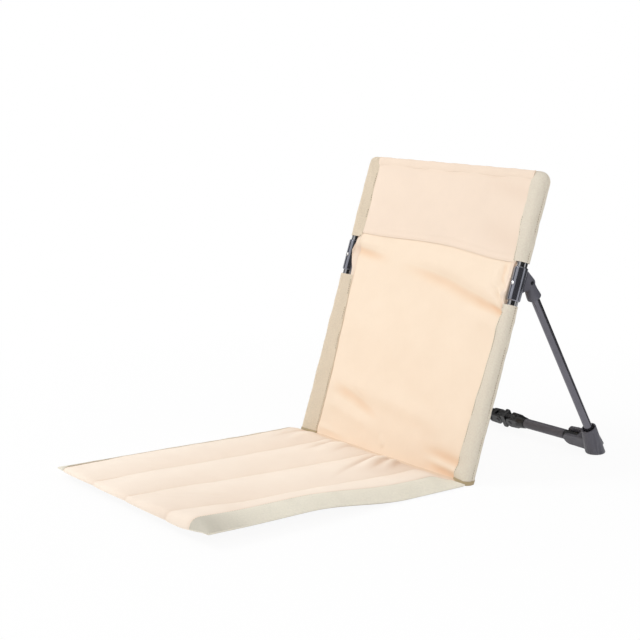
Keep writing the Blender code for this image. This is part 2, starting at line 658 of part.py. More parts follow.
def make_back(frame, peach, blush):
    columns = spread(-1, 1, BACK_COLUMNS)
    head_rows = spread(HEADREST_BOTTOM, PANEL_TOP, HEADREST_ROWS)
    rows = spread(PANEL_BOTTOM, HEADREST_BOTTOM, BACK_ROWS)[:-1] + head_rows

    def surface(forward):
        def point(share, along):
            x = share * panel_edge(along)
            return x, back_depth(x, along) - forward, along
        return point

    piece("back_panel", sheet(columns, rows, surface(CLOTH), surface(0)), peach, frame)
    backing = CLOTH + GAP
    upper = sheet(columns, head_rows, surface(backing + CLOTH), surface(backing))
    piece("headrest_panel", upper, blush, frame)

    half = HEM_THICKNESS / 2
    middle = -SLEEVE_TAIL_FORWARD - CLOTH
    centres = (BACK_LENGTH - HEM_HEIGHT + half, BACK_LENGTH - half)
    outline = hull([(middle, height, half) for height in centres], SMALL)
    piece("top_hem", prism(outline, "X", -PANEL_X, PANEL_X), blush, frame)


def make_hinge_strip(frame, cloth):
    """The sewn strip on which the seat folds: it joins the back's lower edge to the mat."""
    rear = SEAM_Y - SLEEVE_TAIL_FORWARD / math.cos(RECLINE)
    half = PANEL_X - BINDING_PROUD
    low = (-half, SEAT_REAR_Y + GAP, GAP)
    piece("seat_hinge_strip", block(low, (half, rear, GAP + STRIP_HEIGHT)), cloth, frame)


def seat_taper(y):
    """Share of the mat's full thickness at a place along it, falling away to both ends."""
    front = ease((y - SEAT_FRONT_Y + FRONT_START) / FRONT_TAPER)
    return front * ease((SEAT_REAR_Y - y) / REAR_TAPER)


def seat_lift(x, y):
    """How far the mat's underside lies off the ground: it curls up at its front and along its sides."""
    rise = SIDE_LIFT["left" if x > 0 else "right"]
    strip = ease((abs(x) - FABRIC_WIDTH / 2 + CURL_WIDTH) / CURL_WIDTH)
    side = rise * strip * ease((SEAT_REAR_Y - CURL_REAR - y) / CURL_RUN)
    front = FRONT_LIFT * ease((SEAT_FRONT_Y + CURL_FRONT - y) / CURL_FRONT)
    return (side ** CURL_BLEND + front ** CURL_BLEND) ** (1 / CURL_BLEND)


def make_seat(frame, cream, webbing, base_cloth):
    shift = (0, -SEAT_REAR_Y, 0)
    edge_x = FABRIC_WIDTH / 2
    inner = PAD_X + GAP
    bulge_x = inner + (edge_x - inner) * BORDER_BULGE[0]
    length = SEAT_REAR_Y - SEAT_FRONT_Y
    rows = [SEAT_FRONT_Y + length * share for share in SEAT_ROWS]
    floor = BASE_THICKNESS + GAP

    def point(x, y, height):
        """A place on the mat, from its x before the sides are drawn in and its height above the underside."""
        drawn = SIDE_PULL * math.sin(math.pi * (y - SEAT_FRONT_Y) / length)
        return x * (1 - drawn / edge_x), y, seat_lift(x, y) + height

    def pad_top(x, y):
        """Round between the sewn lines of a channel."""
        within = (x / PAD_X + 1) / 2 * CHANNELS
        crown = math.sqrt(abs(math.sin(math.pi * within)))
        full = CHANNEL_SEAM + CHANNEL_CROWN * crown
        return point(x, y, floor + SEAT_EDGE + (full - SEAT_EDGE) * seat_taper(y))

    def pad_under(x, y):
        return point(x, y, floor)

    columns = spread(-PAD_X, PAD_X, CHANNELS * CHANNEL_COLUMNS)
    piece("seat_pad", sheet(columns, rows, pad_top, pad_under), cream, frame, shift)

    def border_top(place, y):
        x, share = place
        top = SEAT_EDGE + (CHANNEL_SEAM - SEAT_EDGE) * seat_taper(y)
        edge = min(BORDER_EDGE, top)
        return point(x, y, floor + edge + (top - edge) * share)

    def border_under(place, y):
        return point(place[0], y, floor)

    for side, sign in SIDES.items():
        places = [(sign * inner, 1), (sign * bulge_x, BORDER_BULGE[1]), (sign * edge_x, 0)]
        piece(f"seat_border_{side}", sheet(places, rows, border_top, border_under), webbing, frame, shift)

    def base(height):
        return lambda x, y: point(x, y, height)

    lines = [-edge_x, -bulge_x] + columns + [bulge_x, edge_x]
    piece("seat_underside", sheet(lines, rows, base(BASE_THICKNESS), base(0)), base_cloth, frame, shift)


def main():
    for old in list(bpy.data.objects):
        bpy.data.objects.remove(old, do_unlink=True)
    black_tube = material("black_gloss_tube", (0.012, 0.012, 0.014), 0.18, 0.6)
    grey_tube = material("grey_satin_tube", (0.11, 0.105, 0.125), 0.42, 0.5)
    gunmetal = material("gunmetal_plastic", (0.085, 0.09, 0.105), 0.28)
    grey_plastic = material("grey_moulded_plastic", (0.10, 0.095, 0.11), 0.5)
    dark_plastic = material("black_moulded_plastic", (0.025, 0.025, 0.028), 0.45)
    steel = material("bright_steel", (0.72, 0.72, 0.72), 0.25, 1.0)
    peach = material("peach_cloth", (0.97, 0.79, 0.63), 0.85)
    blush = material("blush_cloth", (0.93, 0.77, 0.65), 0.85)
    cream = material("cream_cloth", (0.90, 0.78, 0.67), 0.85)
    webbing = material("beige_webbing", (0.75, 0.67, 0.51), 0.9)
    binding = material("khaki_binding", (0.56, 0.46, 0.30), 0.9)
    base_cloth = material("grey_base_cloth", (0.60, 0.57, 0.52), 0.9)

    frames = Frames()
    for side, sign in SIDES.items():
        make_pole(side, frames.side[side], black_tube, dark_plastic)
        make_bracket(side, frames.side[side], gunmetal, steel)
        make_sleeves(side, sign, frames.side[side], webbing, binding)
        make_leg(side, frames.leg[side], grey_tube, grey_plastic)
        make_foot(side, sign, frames.leg[side], grey_plastic, steel)
        make_half_bar(side, sign, frames.bar[side], grey_tube, dark_plastic)
    make_middle_hinge(frames.hinge, dark_plastic, steel)
    make_back(frames.back, peach, blush)
    make_hinge_strip(frames.chair, binding)
    make_seat(frames.seat, cream, webbing, base_cloth)


main()
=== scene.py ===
import json
import math

import bmesh
import bpy
import numpy as np
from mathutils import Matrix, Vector

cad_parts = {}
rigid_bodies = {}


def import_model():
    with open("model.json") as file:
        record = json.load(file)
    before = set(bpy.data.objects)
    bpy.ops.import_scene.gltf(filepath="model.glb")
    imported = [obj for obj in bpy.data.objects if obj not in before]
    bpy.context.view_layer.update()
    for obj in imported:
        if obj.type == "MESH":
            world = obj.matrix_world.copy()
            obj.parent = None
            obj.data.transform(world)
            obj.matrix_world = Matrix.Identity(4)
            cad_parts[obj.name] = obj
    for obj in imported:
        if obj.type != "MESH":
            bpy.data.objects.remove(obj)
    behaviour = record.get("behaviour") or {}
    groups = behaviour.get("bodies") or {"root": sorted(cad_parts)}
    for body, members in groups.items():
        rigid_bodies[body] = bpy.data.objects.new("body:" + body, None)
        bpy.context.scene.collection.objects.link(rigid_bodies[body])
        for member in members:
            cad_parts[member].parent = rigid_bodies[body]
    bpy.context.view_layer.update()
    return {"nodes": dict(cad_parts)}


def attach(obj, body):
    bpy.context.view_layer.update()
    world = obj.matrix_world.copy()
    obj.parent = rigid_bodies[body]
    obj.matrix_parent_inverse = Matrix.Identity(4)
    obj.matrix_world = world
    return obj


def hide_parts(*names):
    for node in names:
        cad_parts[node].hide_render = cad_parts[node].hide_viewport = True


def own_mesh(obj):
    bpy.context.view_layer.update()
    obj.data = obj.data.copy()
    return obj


for old in list(bpy.data.objects):
    bpy.data.objects.remove(old, do_unlink=True)
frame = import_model()
cadNodes = frame["nodes"]
scene = bpy.context.scene
print("frame loaded:", len(cadNodes), "nodes")

chair = {
    "recline": math.radians(18.3),  # back, from vertical
    "legAngle": math.radians(30.3),
    "seamY": 0.09334,  # where the plane of the poles meets the ground
    "poleX": 0.2189, "panelX": 0.2, "halfWidth": 0.23, "backLength": 0.533,
    "windowLow": 0.304, "windowHigh": 0.378, "seatFront": -0.42466, "seatRear": 0.079516,
}
sides = {"left": 1, "right": -1}
lean, legLean, poleX = chair["recline"], chair["legAngle"], chair["poleX"]
seatFront, seatRear = chair["seatFront"], chair["seatRear"]
poleWay = np.array([0, math.sin(lean), math.cos(lean)])
legWay = np.array([0, -math.sin(legLean), math.cos(legLean)])


# small helpers

def joined(*parts):  # side by side along a new last axis
    return np.stack(np.broadcast_arrays(*parts), axis=-1)


def ease(share):
    share = np.clip(share, 0.0, 1.0)
    return share * share * (3 - 2 * share)


def bell(gap, width):  # 1 in the middle, fading over a width
    return np.exp(-((gap / width) ** 2))


def spot(x, y, weight, midX, wide, midY, deep):
    return weight * bell(x - midX, wide) * bell(y - midY, deep)


def tabled(table, place):  # value at a place, from pairs of places and values
    return np.interp(place, *zip(*table))


def lengthOf(vectors):
    return np.linalg.norm(vectors, axis=-1, keepdims=True)


def roundTurn(count):  # angles once round
    return np.linspace(0, 2 * math.pi, count, endpoint=False)


def onBack(x, behind, along):  # place on the reclined back
    y = chair["seamY"] + behind * math.cos(lean) + along * math.sin(lean)
    return joined(x, y, along * math.cos(lean) - behind * math.sin(lean))


def ripples(u, v, size, seed, waves=7):  # smooth unevenness, about -1 to 1
    draw = np.random.default_rng(seed)
    total = 0.0
    for _ in range(waves):
        angle, phase = draw.uniform(0, 2 * math.pi, 2)
        length = size * draw.uniform(0.7, 1.7)
        total = total + np.sin((u * math.cos(angle) + v * math.sin(angle)) * 2 * math.pi / length + phase)
    return total / waves ** 0.5


def creases(u, v, lines):  # folds in mm: points, width, height, and the shares over which both ends fade
    total = np.zeros(np.broadcast(u, v).shape)
    for points, width, height, fades in lines:
        points = np.array(points) / 1000
        runs = np.diff(points, axis=0)
        steps = np.linalg.norm(runs, axis=1)
        starts = np.concatenate([[0.0], np.cumsum(steps)])
        nearest, share = np.full(total.shape, 1e9), np.zeros(total.shape)
        for start, point, run, step in zip(starts, points, runs / steps[:, None], steps):
            du, dv = u - point[0], v - point[1]
            place = np.clip(du * run[0] + dv * run[1], 0, step)
            gap = np.hypot(du - place * run[0], dv - place * run[1])
            share = np.where(gap < nearest, (start + place) / starts[-1], share)
            nearest = np.minimum(gap, nearest)
        for fade, left in zip(fades, (share, 1 - share)):
            height = height * ease(left / fade) if fade else height
        total += height / 1000 * bell(nearest, width / 1000)
    return total


def addObject(name, data, finish=None):
    made = bpy.data.objects.new(name, data)
    scene.collection.objects.link(made)
    if finish:
        data.materials.clear()
        data.materials.append(finish)
    return made


def smoothShade(mesh, sharpFrom=40):
    mesh.shade_smooth()
    mesh.set_sharp_from_angle(angle=math.radians(sharpFrom))


def coordsOf(mesh):
    co = np.zeros(len(mesh.vertices) * 3)
    mesh.vertices.foreach_get("co", co)
    return co.reshape(-1, 3)


def bake(made):  # keeps what the modifiers make
    bpy.context.view_layer.update()
    done = bpy.data.meshes.new_from_object(made.evaluated_get(bpy.context.evaluated_depsgraph_get()))
    made.modifiers.clear()
    made.data = done
    done.shade_smooth()
    return done


def meshFrom(name, points, faces, uv=None, relief=None):
    mesh = bpy.data.meshes.new(name)
    mesh.from_pydata(points.tolist(), [], faces)
    if uv is not None:
        corner = np.zeros(len(mesh.loops), np.int32)
        mesh.loops.foreach_get("vertex_index", corner)
        # the second layer holds painted shade: fold height and painted shade spots, which the cloth finish turns into
        # a darker colour
        layers = {"weave": uv} if relief is None else {"weave": uv, "relief": joined(relief, 0.0)}
        for label, values in layers.items():
            layer = mesh.uv_layers.new(name=label, do_init=False)
            layer.data.foreach_set("uv", np.asarray(values, np.float32)[corner].ravel())
    mesh.validate()
    return mesh


def gridOf(rows, cols):
    return np.arange(rows * cols).reshape(rows, cols)


def gridFaces(grid):
    corners = [grid[:-1, :-1], grid[:-1, 1:], grid[1:, 1:], grid[1:, :-1]]
    return np.stack(corners, axis=-1).reshape(-1, 4).tolist()


def slab(name, front, rear, uv, finish, relief=None):  # a closed piece between two grids of points
    grid = gridOf(*front.shape[:2])
    count = grid.size
    faces = gridFaces(grid)
    faces += [[k + count for k in face[::-1]] for face in faces]
    rim = np.concatenate([grid[0], grid[1:-1, -1], grid[-1, ::-1], grid[-2:0:-1, 0]]).tolist()
    faces += [(b, a, a + count, b + count) for a, b in zip(rim[-1:] + rim, rim)]
    points = np.concatenate([front.reshape(-1, 3), rear.reshape(-1, 3)])
    flat = np.asarray(uv).reshape(-1, 2)
    if relief is not None:
        relief = np.concatenate([np.ravel(relief), np.full(count, 0.5)])
    mesh = meshFrom(name, points, faces, np.concatenate([flat, flat]), relief)
    smoothShade(mesh)
    return addObject(name, mesh, finish)


def clothSheet(name, front, thickness, uv, finish, relief=None):
    normal = np.cross(np.gradient(front, axis=1), np.gradient(front, axis=0))
    normal = normal / np.maximum(lengthOf(normal), 1e-12)
    return slab(name, front, front - normal * thickness, uv, finish, relief)


def editMesh(mesh, change):
    shape = bmesh.new()
    shape.from_mesh(mesh)
    change(shape)
    shape.to_mesh(mesh)
    shape.free()


def tubeMesh(name, rings, uv=None):  # a skin over closed rings, with flat ends
    grid = gridOf(*rings.shape[:2])
    faces = gridFaces(np.hstack([grid, grid[:, :1]])) + [grid[0, ::-1].tolist(), grid[-1].tolist()]
    mesh = meshFrom(name, rings.reshape(-1, 3), faces, None if uv is None else uv.reshape(-1, 2))
    editMesh(mesh, lambda shape: bmesh.ops.recalc_face_normals(shape, faces=shape.faces))
    smoothShade(mesh)
    return mesh


# materials

def startFinish(name, colour, roughness, metallic=0.0):
    made = bpy.data.materials.new(name)
    made.use_nodes = True
    made.diffuse_color = (*colour, 1.0)
    shader = made.node_tree.nodes["Principled BSDF"]
    shader.inputs["Base Color"].default_value = (*colour, 1.0)
    shader.inputs["Roughness"].default_value = roughness
    shader.inputs["Metallic"].default_value = metallic
    return made, made.node_tree, shader


def addNode(tree, kind, inputs=None, **settings):
    made = tree.nodes.new(kind)
    for key, value in settings.items():
        setattr(made, key, value)
    for key, value in (inputs or {}).items():
        if isinstance(value, bpy.types.NodeSocket):
            tree.links.new(value, made.inputs[key])
        else:
            made.inputs[key].default_value = value
    return made


def mathNode(tree, operation, a, b=0.0):
    return addNode(tree, "ShaderNodeMath", {0: a, 1: b}, operation=operation).outputs[0]


def rangeNode(tree, value, low, high, first=0.0, last=1.0):
    return addNode(tree, "ShaderNodeMapRange", {0: value, 1: low, 2: high, 3: first, 4: last}).outputs[0]


def mixNode(tree, factor, low, high):  # between two colours
    return addNode(tree, "ShaderNodeMix", {"Factor": factor, 6: low, 7: high}, data_type="RGBA").outputs[2]


def noiseNode(tree, vector, scale, detail, roughness=0.5):
    inputs = {"Vector": vector, "Scale": scale, "Detail": detail, "Roughness": roughness}
    return addNode(tree, "ShaderNodeTexNoise", inputs).outputs[0]


def addBump(tree, shader, look, height):
    inputs = {"Strength": look["bump"], "Distance": look["depth"], "Height": height}
    tree.links.new(addNode(tree, "ShaderNodeBump", inputs).outputs[0], shader.inputs["Normal"])


def scaled(colour, share):
    return (*(min(1.0, max(0.0, part * share)) for part in colour), 1.0)


clothCommon = {
    "warp": 0.0012, "weft": 0.0012, "weaveTone": 0.2, "patchScale": 14.0, "bump": 0.35, "depth": 0.00025,
    "roughness": 0.88, "slubs": (900, 60, 1), "slubTone": 0.35, "slubHeight": 0.8,
    "sheen": {"Sheen Weight": 0.12, "Sheen Roughness": 0.5, "Specular IOR Level": 0.2},
}


def clothFinish(name, colour, tone, more):
    look = clothCommon | more
    made, tree, shader = startFinish(name, colour, look["roughness"])
    place = addNode(tree, "ShaderNodeTexCoord").outputs["UV"]
    ways = addNode(tree, "ShaderNodeSeparateXYZ", {0: place}).outputs
    warp, weft = (mathNode(tree, "SINE", mathNode(tree, "MULTIPLY", way, 2 * math.pi / look[label]))
                  for way, label in zip(ways, ("warp", "weft")))
    weave = mathNode(tree, "MULTIPLY", warp, weft)
    stretched = addNode(tree, "ShaderNodeMapping", {0: place, 3: look["slubs"]}).outputs[0]
    slub = noiseNode(tree, stretched, 1.0, 2.0)
    patch = noiseNode(tree, place, look["patchScale"], 4.0, 0.55)
    shade = mathNode(tree, "ADD", mathNode(tree, "MULTIPLY", weave, look["weaveTone"]), patch)
    shade = mathNode(tree, "ADD", shade, mathNode(tree, "MULTIPLY", slub, look["slubTone"]))
    low, high = scaled(look.get("shade", colour), 1 - tone), scaled(colour, 1 + tone / 2)
    mixed = mixNode(tree, rangeNode(tree, shade, 0.35, 1.05), low, high)
    if "paintedShadeColour" in look:  # painted shade: the colour goes deeper in the folds, by the height and painted shade kept in the second layer
        kept = addNode(tree, "ShaderNodeUVMap", uv_map="relief").outputs[0]
        height = addNode(tree, "ShaderNodeSeparateXYZ", {0: kept}).outputs[0]
        mixed = mixNode(tree, rangeNode(tree, height, 0.0, 0.5), (*look["paintedShadeColour"], 1.0), mixed)
    tree.links.new(mixed, shader.inputs["Base Color"])
    addBump(tree, shader, look, mathNode(tree, "ADD", weave, mathNode(tree, "MULTIPLY", slub, look["slubHeight"])))
    for label, value in look["sheen"].items():
        shader.inputs[label].default_value = value
    return made


hardCommon = {
    "grain": 700.0, "cloud": 45.0, "tone": 0.12, "gloss": 0.06, "bump": 0.15, "depth": 0.0001, "specular": 0.5,
}


def hardFinish(name, colour, roughness, metallic, more):
    look = hardCommon | more
    made, tree, shader = startFinish(name, colour, roughness, metallic)
    place = addNode(tree, "ShaderNodeTexCoord").outputs["Object"]
    cloud = noiseNode(tree, place, look["cloud"], 4.0, 0.6)
    low, high = (scaled(colour, 1 + way * look["tone"]) for way in (-1, 1))
    tree.links.new(mixNode(tree, rangeNode(tree, cloud, 0.3, 0.7), low, high), shader.inputs["Base Color"])
    least, most = (roughness + way * look["gloss"] for way in (-1, 1))
    tree.links.new(rangeNode(tree, cloud, 0.3, 0.7, least, most), shader.inputs["Roughness"])
    addBump(tree, shader, look, noiseNode(tree, place, look["grain"], 2.0, 0.6))
    shader.inputs["Specular IOR Level"].default_value = look["specular"]
    return made


webbing = {"warp": 0.0019, "weft": 0.0023, "weaveTone": 0.12}
sleeveCloth = webbing | {"bump": 0.9, "depth": 0.0005, "patchScale": 330.0}
# the borders' shade colour is their painted shade
borderCloth = webbing | {"bump": 0.7, "depth": 0.0004, "patchScale": 260.0, "paintedShadeColour": (0.47, 0.44, 0.37)}
coarse = {"bump": 0.6, "depth": 0.0004}
thread = {"warp": 0.0006, "weft": 0.0006}
moulding = {"grain": 900.0, "depth": 0.00015}
clothLooks = {  # colour, tone, what else differs
    "peachCloth": ((0.95, 0.795, 0.635), 0.03, {"shade": (0.95, 0.78, 0.61), "paintedShadeColour": (0.86, 0.6, 0.4)}),
    "blushCloth": ((0.905, 0.75, 0.615), 0.035, {"paintedShadeColour": (0.78, 0.6, 0.47)}),
    "hemCloth": ((0.885, 0.73, 0.595), 0.035, {}),
    "creamCloth": ((0.985, 0.872, 0.752), 0.03, {"shade": (0.975, 0.84, 0.712), "paintedShadeColour": (0.74, 0.56, 0.43)}),
    # one webbing for both sleeves, painted lighter on the left and darker on the right to stand in for the light
    # falling on each
    "sleeveWebbingPaintedLight_left": ((1.0, 0.878, 0.732), 0.15, sleeveCloth),
    "sleeveWebbingPaintedLight_right": ((0.945, 0.8, 0.617), 0.14, sleeveCloth),
    "borderWebbing": ((0.935, 0.88, 0.745), 0.09, borderCloth),
    "khakiBinding": ((0.52, 0.41, 0.25), 0.12, coarse | {"warp": 0.0016, "weft": 0.0024}),
    "foldCloth": ((0.82, 0.64, 0.48), 0.06, {}),
    "baseCloth": ((0.7, 0.64, 0.54), 0.1, coarse | {"warp": 0.0018, "weft": 0.0018}),
    "paleThread": ((0.93, 0.77, 0.635), 0.05, thread),
    "edgeThread": ((0.64, 0.54, 0.42), 0.05, thread),
    "tanThread": ((0.43, 0.34, 0.23), 0.05, thread),
}
hardLooks = {  # colour, roughness, metallic, what else differs
    "blackTube": ((0.33, 0.33, 0.34), 0.09, 0.95, {"gloss": 0.02, "bump": 0.0}),
    "greyTube": ((0.152, 0.148, 0.172), 0.15, 0.85, {"grain": 1400.0, "bump": 0.1}),
    "barTube": ((0.128, 0.125, 0.146), 0.42, 0.0, {"grain": 1400.0, "bump": 0.12, "specular": 0.25}),
    "gunmetal": ((0.24, 0.245, 0.285), 0.12, 0.85, {"gloss": 0.03, "bump": 0.0}),
    "greyPlastic": ((0.103, 0.101, 0.124), 0.44, 0.0, moulding | {"bump": 0.3}),
    "blackPlastic": ((0.014, 0.014, 0.016), 0.36, 0.0, moulding | {"bump": 0.25}),
    "steel": ((0.85, 0.85, 0.85), 0.22, 1.0, {"tone": 0.05, "bump": 0.08}),
    "darkSteel": ((0.06, 0.06, 0.065), 0.35, 0.9, {"bump": 0.1}),
}
finishes = {name: clothFinish(name, *look) for name, look in clothLooks.items()}
finishes |= {name: hardFinish(name, *look) for name, look in hardLooks.items()}
print("materials made:", len(finishes))


# back: one sheet from the fold to the hem, a second layer as headrest, a hem along the top

sleeves = {
    "radius": 0.0111, "wall": 0.0016, "low": 0.003, "step": 0.0035, "around": 64,
    "seam": 0.0013,  # half the thickness of the sewn edge
    "corner": {"left": 0.02, "right": 0.012},
    "reach": {  # pole's axis to the sewn edge, at heights along the back
        "left": [(0.0, 0.0255), (0.07, 0.0228), (0.138, 0.0201), (0.232, 0.014), (0.3, 0.013), (0.378, 0.0155),
                 (0.413, 0.0172), (0.447, 0.021), (0.533, 0.0218)],
        "right": [(0.0, 0.0345), (0.074, 0.0345), (0.15, 0.0315), (0.256, 0.0258), (0.3, 0.0238), (0.378, 0.021),
                  (0.41, 0.0216), (0.45, 0.024), (0.533, 0.0205)],
    },
    "groove": (0.0016, 0.0017),  # depth and width of the sewn line along the outer side
    "ridge": (0.0003, 0.0042, 0.002),  # beside it: height, distance, width
    "waves": ((0.00045, 1.5, 0.055), (0.00018, 1.0, 0.017)),  # height, stretch round the sleeve, size
    "middle": (0.006, -0.001),
    "levelRings": 12,  # from the level lower end to rings square to the pole
    "flatter": (0.65, 0.35),  # at the top corner: as it narrows, and at its very end
    "mouth": ((0.0, 0.0), (0.35, 0.0), (0.8, 0.0004), (1.0, 0.0022), (1.0, 0.01)),  # share of the wall, depth inside
    "binding": (  # height, growth past the sleeve
        (0.0, 0.0002), (0.0004, 0.0009), (0.0055, 0.001), (0.0066, 0.0008), (0.007, 0.0001), (0.0068, -0.0008)),
}
backPanel = {
    "low": 0.0008, "high": 0.517, "cols": 150, "rows": 190, "thickness": 0.0013, "sag": 0.008,
    "edge": 0.004,  # how far its sewn sides lie in front of the poles' axes
    "cover": 0.0018,
    "lap": 0.0025,  # runs on under the sleeves' sewn edges
    "slack": ((0.00035, 0.07, 3), (0.00012, 0.022, 4)),  # height, size, seed
    # painted shade: fold height that paints the full shade colour, and a painted shade in the lower left corner
    # (weight, x, width, height, depth)
    "foldPaintedShadeDepth": 0.009,
    "cornerPaintedShade": (0.22, 0.18, 0.07, 0.01, 0.035),
    "folds": [
        ([(-100, 366), (50, 350), (195, 318)], 20, 5, (0.5, 0)),
        ([(-93, 344), (50, 325), (192, 290)], 12, -3.4, (0.4, 0.2)),
        ([(-199, 355), (-96, 341)], 9, -3.6, (0, 0.8)),
        ([(-199, 370), (-110, 362)], 10, 3.6, (0, 0.8)),
        ([(155, 341), (190, 317), (203, 300)], 4.4, -4.2, (0.7, 0)),
        ([(160, 303), (204, 289)], 4.2, -2.8, (0.7, 0)),
        ([(165, 343), (200, 318)], 5.5, 3.4, (0.8, 0)),
        ([(180, 352), (200, 330)], 4, -3, (0.8, 0)),
        ([(187, 376), (186, 345), (190, 305)], 5, -2, (0.2, 0.2)),
        ([(176, 372), (172, 352), (178, 322)], 6, 1.6, (0.3, 0.5)),
        ([(117.5, 310), (199, 289)], 9, -3, (0.8, 0)),
        ([(100, 288), (199, 262)], 12, 2.4, (0.8, 0)),
        ([(-179, 96), (-107, 86), (-41, 64), (-19, 52)], 12, -3.1, (0.3, 0.5)),
        ([(-175, 112), (95, 84), (175, 66)], 18, 4.2, (0.3, 0.3)),
        ([(-190, 70), (-60, 45), (20, 30)], 12, 2.6, (0.2, 0.5)),
        ([(-12, 36), (4, 13)], 5, 1.8, (0.6, 0.2)),
        ([(85, 37), (195, 27)], 9, -2.5, (0.7, 0)),
        ([(100, 24), (197, 16)], 8, 2.8, (0.6, 0)),
        ([(110, 13), (199, 5)], 6, -2.1, (0.6, 0)),
        ([(-190, 17), (-75, 9)], 6, 2.2, (0.2, 0.7)),
        ([(60, 505), (199, 490)], 14, -1.1, (0.8, 0)),
        ([(80, 440), (199, 405)], 20, -1.2, (0.8, 0)),
        ([(-200, 398), (-205, 376), (-206, 352)], 3, -2.6, (0.2, 0.5)),
        ([(-193, 384), (-196, 360)], 4, 1.4, (0.2, 0.5)),
        ([(-199, 470), (-70, 440)], 18, 1.8, (0, 0.8)),
        ([(-199, 230), (-50, 200), (120, 205)], 30, 3, (0.2, 0.6)),
    ],
}


def sleeveReach(side, along):
    return tabled(sleeves["reach"][side], along)


def panelEdge(along, side):
    return poleX - sleeveReach(side, along) + backPanel["lap"]


def backDepth(x, along):  # the cloth's front, behind the plane of the poles
    rise = np.clip((along - backPanel["low"]) / (backPanel["high"] - backPanel["low"]), 0, 1)
    belly = backPanel["sag"] * (1 - (x / chair["panelX"]) ** 2) * np.sin(math.pi * rise)
    slack = sum(height * ripples(x, along, size, seed) for height, size, seed in backPanel["slack"])
    return belly - backPanel["edge"] - backPanel["cover"] - creases(x, along, backPanel["folds"]) - slack


# painted shade on the back: darker in the fold valleys, lighter on the ridges, and darker in the lower left corner
def backPaintedShade(uv):
    x, along = uv[..., 0], uv[..., 1]
    height = creases(x, along, backPanel["folds"]) / backPanel["foldPaintedShadeDepth"]
    return np.clip(0.5 + height - spot(x, along, *backPanel["cornerPaintedShade"]), 0, 1)


def backSheet(name, piece, low, forward, finish, spread=1.0):
    share = np.linspace(-1, 1, piece["cols"])[None, :]
    lowEdge = low(share * chair["panelX"])
    along = lowEdge + (piece["high"] - lowEdge) * np.linspace(0, 1, piece["rows"])[:, None] ** spread
    x = share * np.where(share > 0, panelEdge(along, "left"), panelEdge(along, "right"))
    points, uv = onBack(x, backDepth(x, along) - forward(x, along), along), joined(x, along)
    return clothSheet(name, points, piece["thickness"], uv, finishes[finish], backPaintedShade(uv))


headrest = {
    "high": 0.52, "cols": 110, "rows": 50, "thickness": 0.001, "forward": 0.0013, "relief": 0.0003, "hem": 0.011,
    "spread": 1.25,  # rows stand closer at the lower edge
    "lowEdge": ((-0.205, 0.3865), (-0.14, 0.385), (-0.06, 0.3878), (0.018, 0.388), (0.075, 0.3838), (0.15, 0.3755),
                (0.205, 0.3752)),
}


def headrestLow(x):  # its lower edge hangs lower towards the left
    return tabled(headrest["lowEdge"], x[..., None] + np.linspace(-0.03, 0.03, 7)).mean(axis=-1)


def headrestForward(x, along):
    above = along - headrestLow(x)
    return headrest["forward"] + headrest["relief"] * (bell(above, 0.004) - bell(above - headrest["hem"], 0.0022))


lowerBack = backSheet("lowerBackPanel", backPanel, lambda x: backPanel["low"] + 0 * x, lambda x, along: 0.0,
                      "peachCloth")
upperBack = backSheet("headrestPanel", headrest, headrestLow, headrestForward, "blushCloth", headrest["spread"])

topHem = {
    "low": 0.5165, "high": 0.533, "halfThickness": 0.0022, "halfWidth": 0.2012, "around": 20, "cols": 110,
    "squareness": 0.6, "thinner": 0.35, "girth": 0.006, "waves": ((0.0003, 95, 0), (0.0002, 213, 1)),
}
angles = roundTurn(topHem["around"])
spanX = np.linspace(-topHem["halfWidth"], topHem["halfWidth"], topHem["cols"])
profile = np.sign(np.cos(angles)) * np.abs(np.cos(angles)) ** topHem["squareness"]
swell = np.sin(angles) * (1 - topHem["thinner"] * np.clip(-profile, 0, 1))
middle, half = (topHem["high"] + topHem["low"]) / 2, (topHem["high"] - topHem["low"]) / 2
uneven = sum(height * np.sin(spanX * rate + phase) for height, rate, phase in topHem["waves"])
rings = onBack(spanX[:, None], topHem["halfThickness"] * (swell - 1) - backPanel["edge"],
               middle + half * profile + uneven[:, None])
hemUv = joined(*np.meshgrid(angles * topHem["girth"], spanX))
backHem = addObject("topHemRoll", tubeMesh("topHemRoll", rings, hemUv), finishes["hemCloth"])
print("back made")


# sleeves: cloth wrapped round each pole and sewn along its inner edge

def sleeveRing(side, along, grow=0.0):  # outline round the pole: inward distance and depth
    reach = float(sleeveReach(side, along))
    seamDepth = float(backDepth(np.array(sides[side] * (poleX - reach)), np.array(along))) - 0.0004
    circle, tip = sleeves["radius"] + grow, sleeves["seam"] + grow
    aim = math.atan2(seamDepth, reach)
    spread = math.acos((circle - tip) / math.hypot(reach, seamDepth))
    outer = np.linspace(aim + spread, aim + 2 * math.pi - spread, 120)
    nose = np.linspace(aim - spread, aim + spread, 24)
    dense = np.concatenate([circle * joined(np.cos(outer), np.sin(outer)),
                            tip * joined(np.cos(nose), np.sin(nose)) + (reach, seamDepth)])
    dense = np.concatenate([dense, dense[:1]])
    lengths = np.concatenate([[0], np.cumsum(np.linalg.norm(np.diff(dense, axis=0), axis=1))])
    marks = np.linspace(0, lengths[-1], sleeves["around"], endpoint=False)
    return joined(*(np.interp(marks, lengths, dense[:, k]) for k in (0, 1))), marks


def sleevePlaced(side, outline, along):
    return onBack(sides[side] * (poleX - outline[:, 0]), outline[:, 1], along)


def wavy(outline, marks, along, seed):  # soft unevenness of the cloth, square to its outline
    out = outline - sleeves["middle"]
    out = out / lengthOf(out)
    lift = sum(height * ripples(marks * stretch, along, size, seed + k)
               for k, (height, stretch, size) in enumerate(sleeves["waves"]))
    away = np.abs(marks - marks[np.argmin(outline[:, 0])])
    (height, beside, width), (depth, narrow) = sleeves["ridge"], sleeves["groove"]
    lift = lift + height * bell(away - beside, width) - depth * bell(away, narrow)
    return outline + out * lift[:, None]


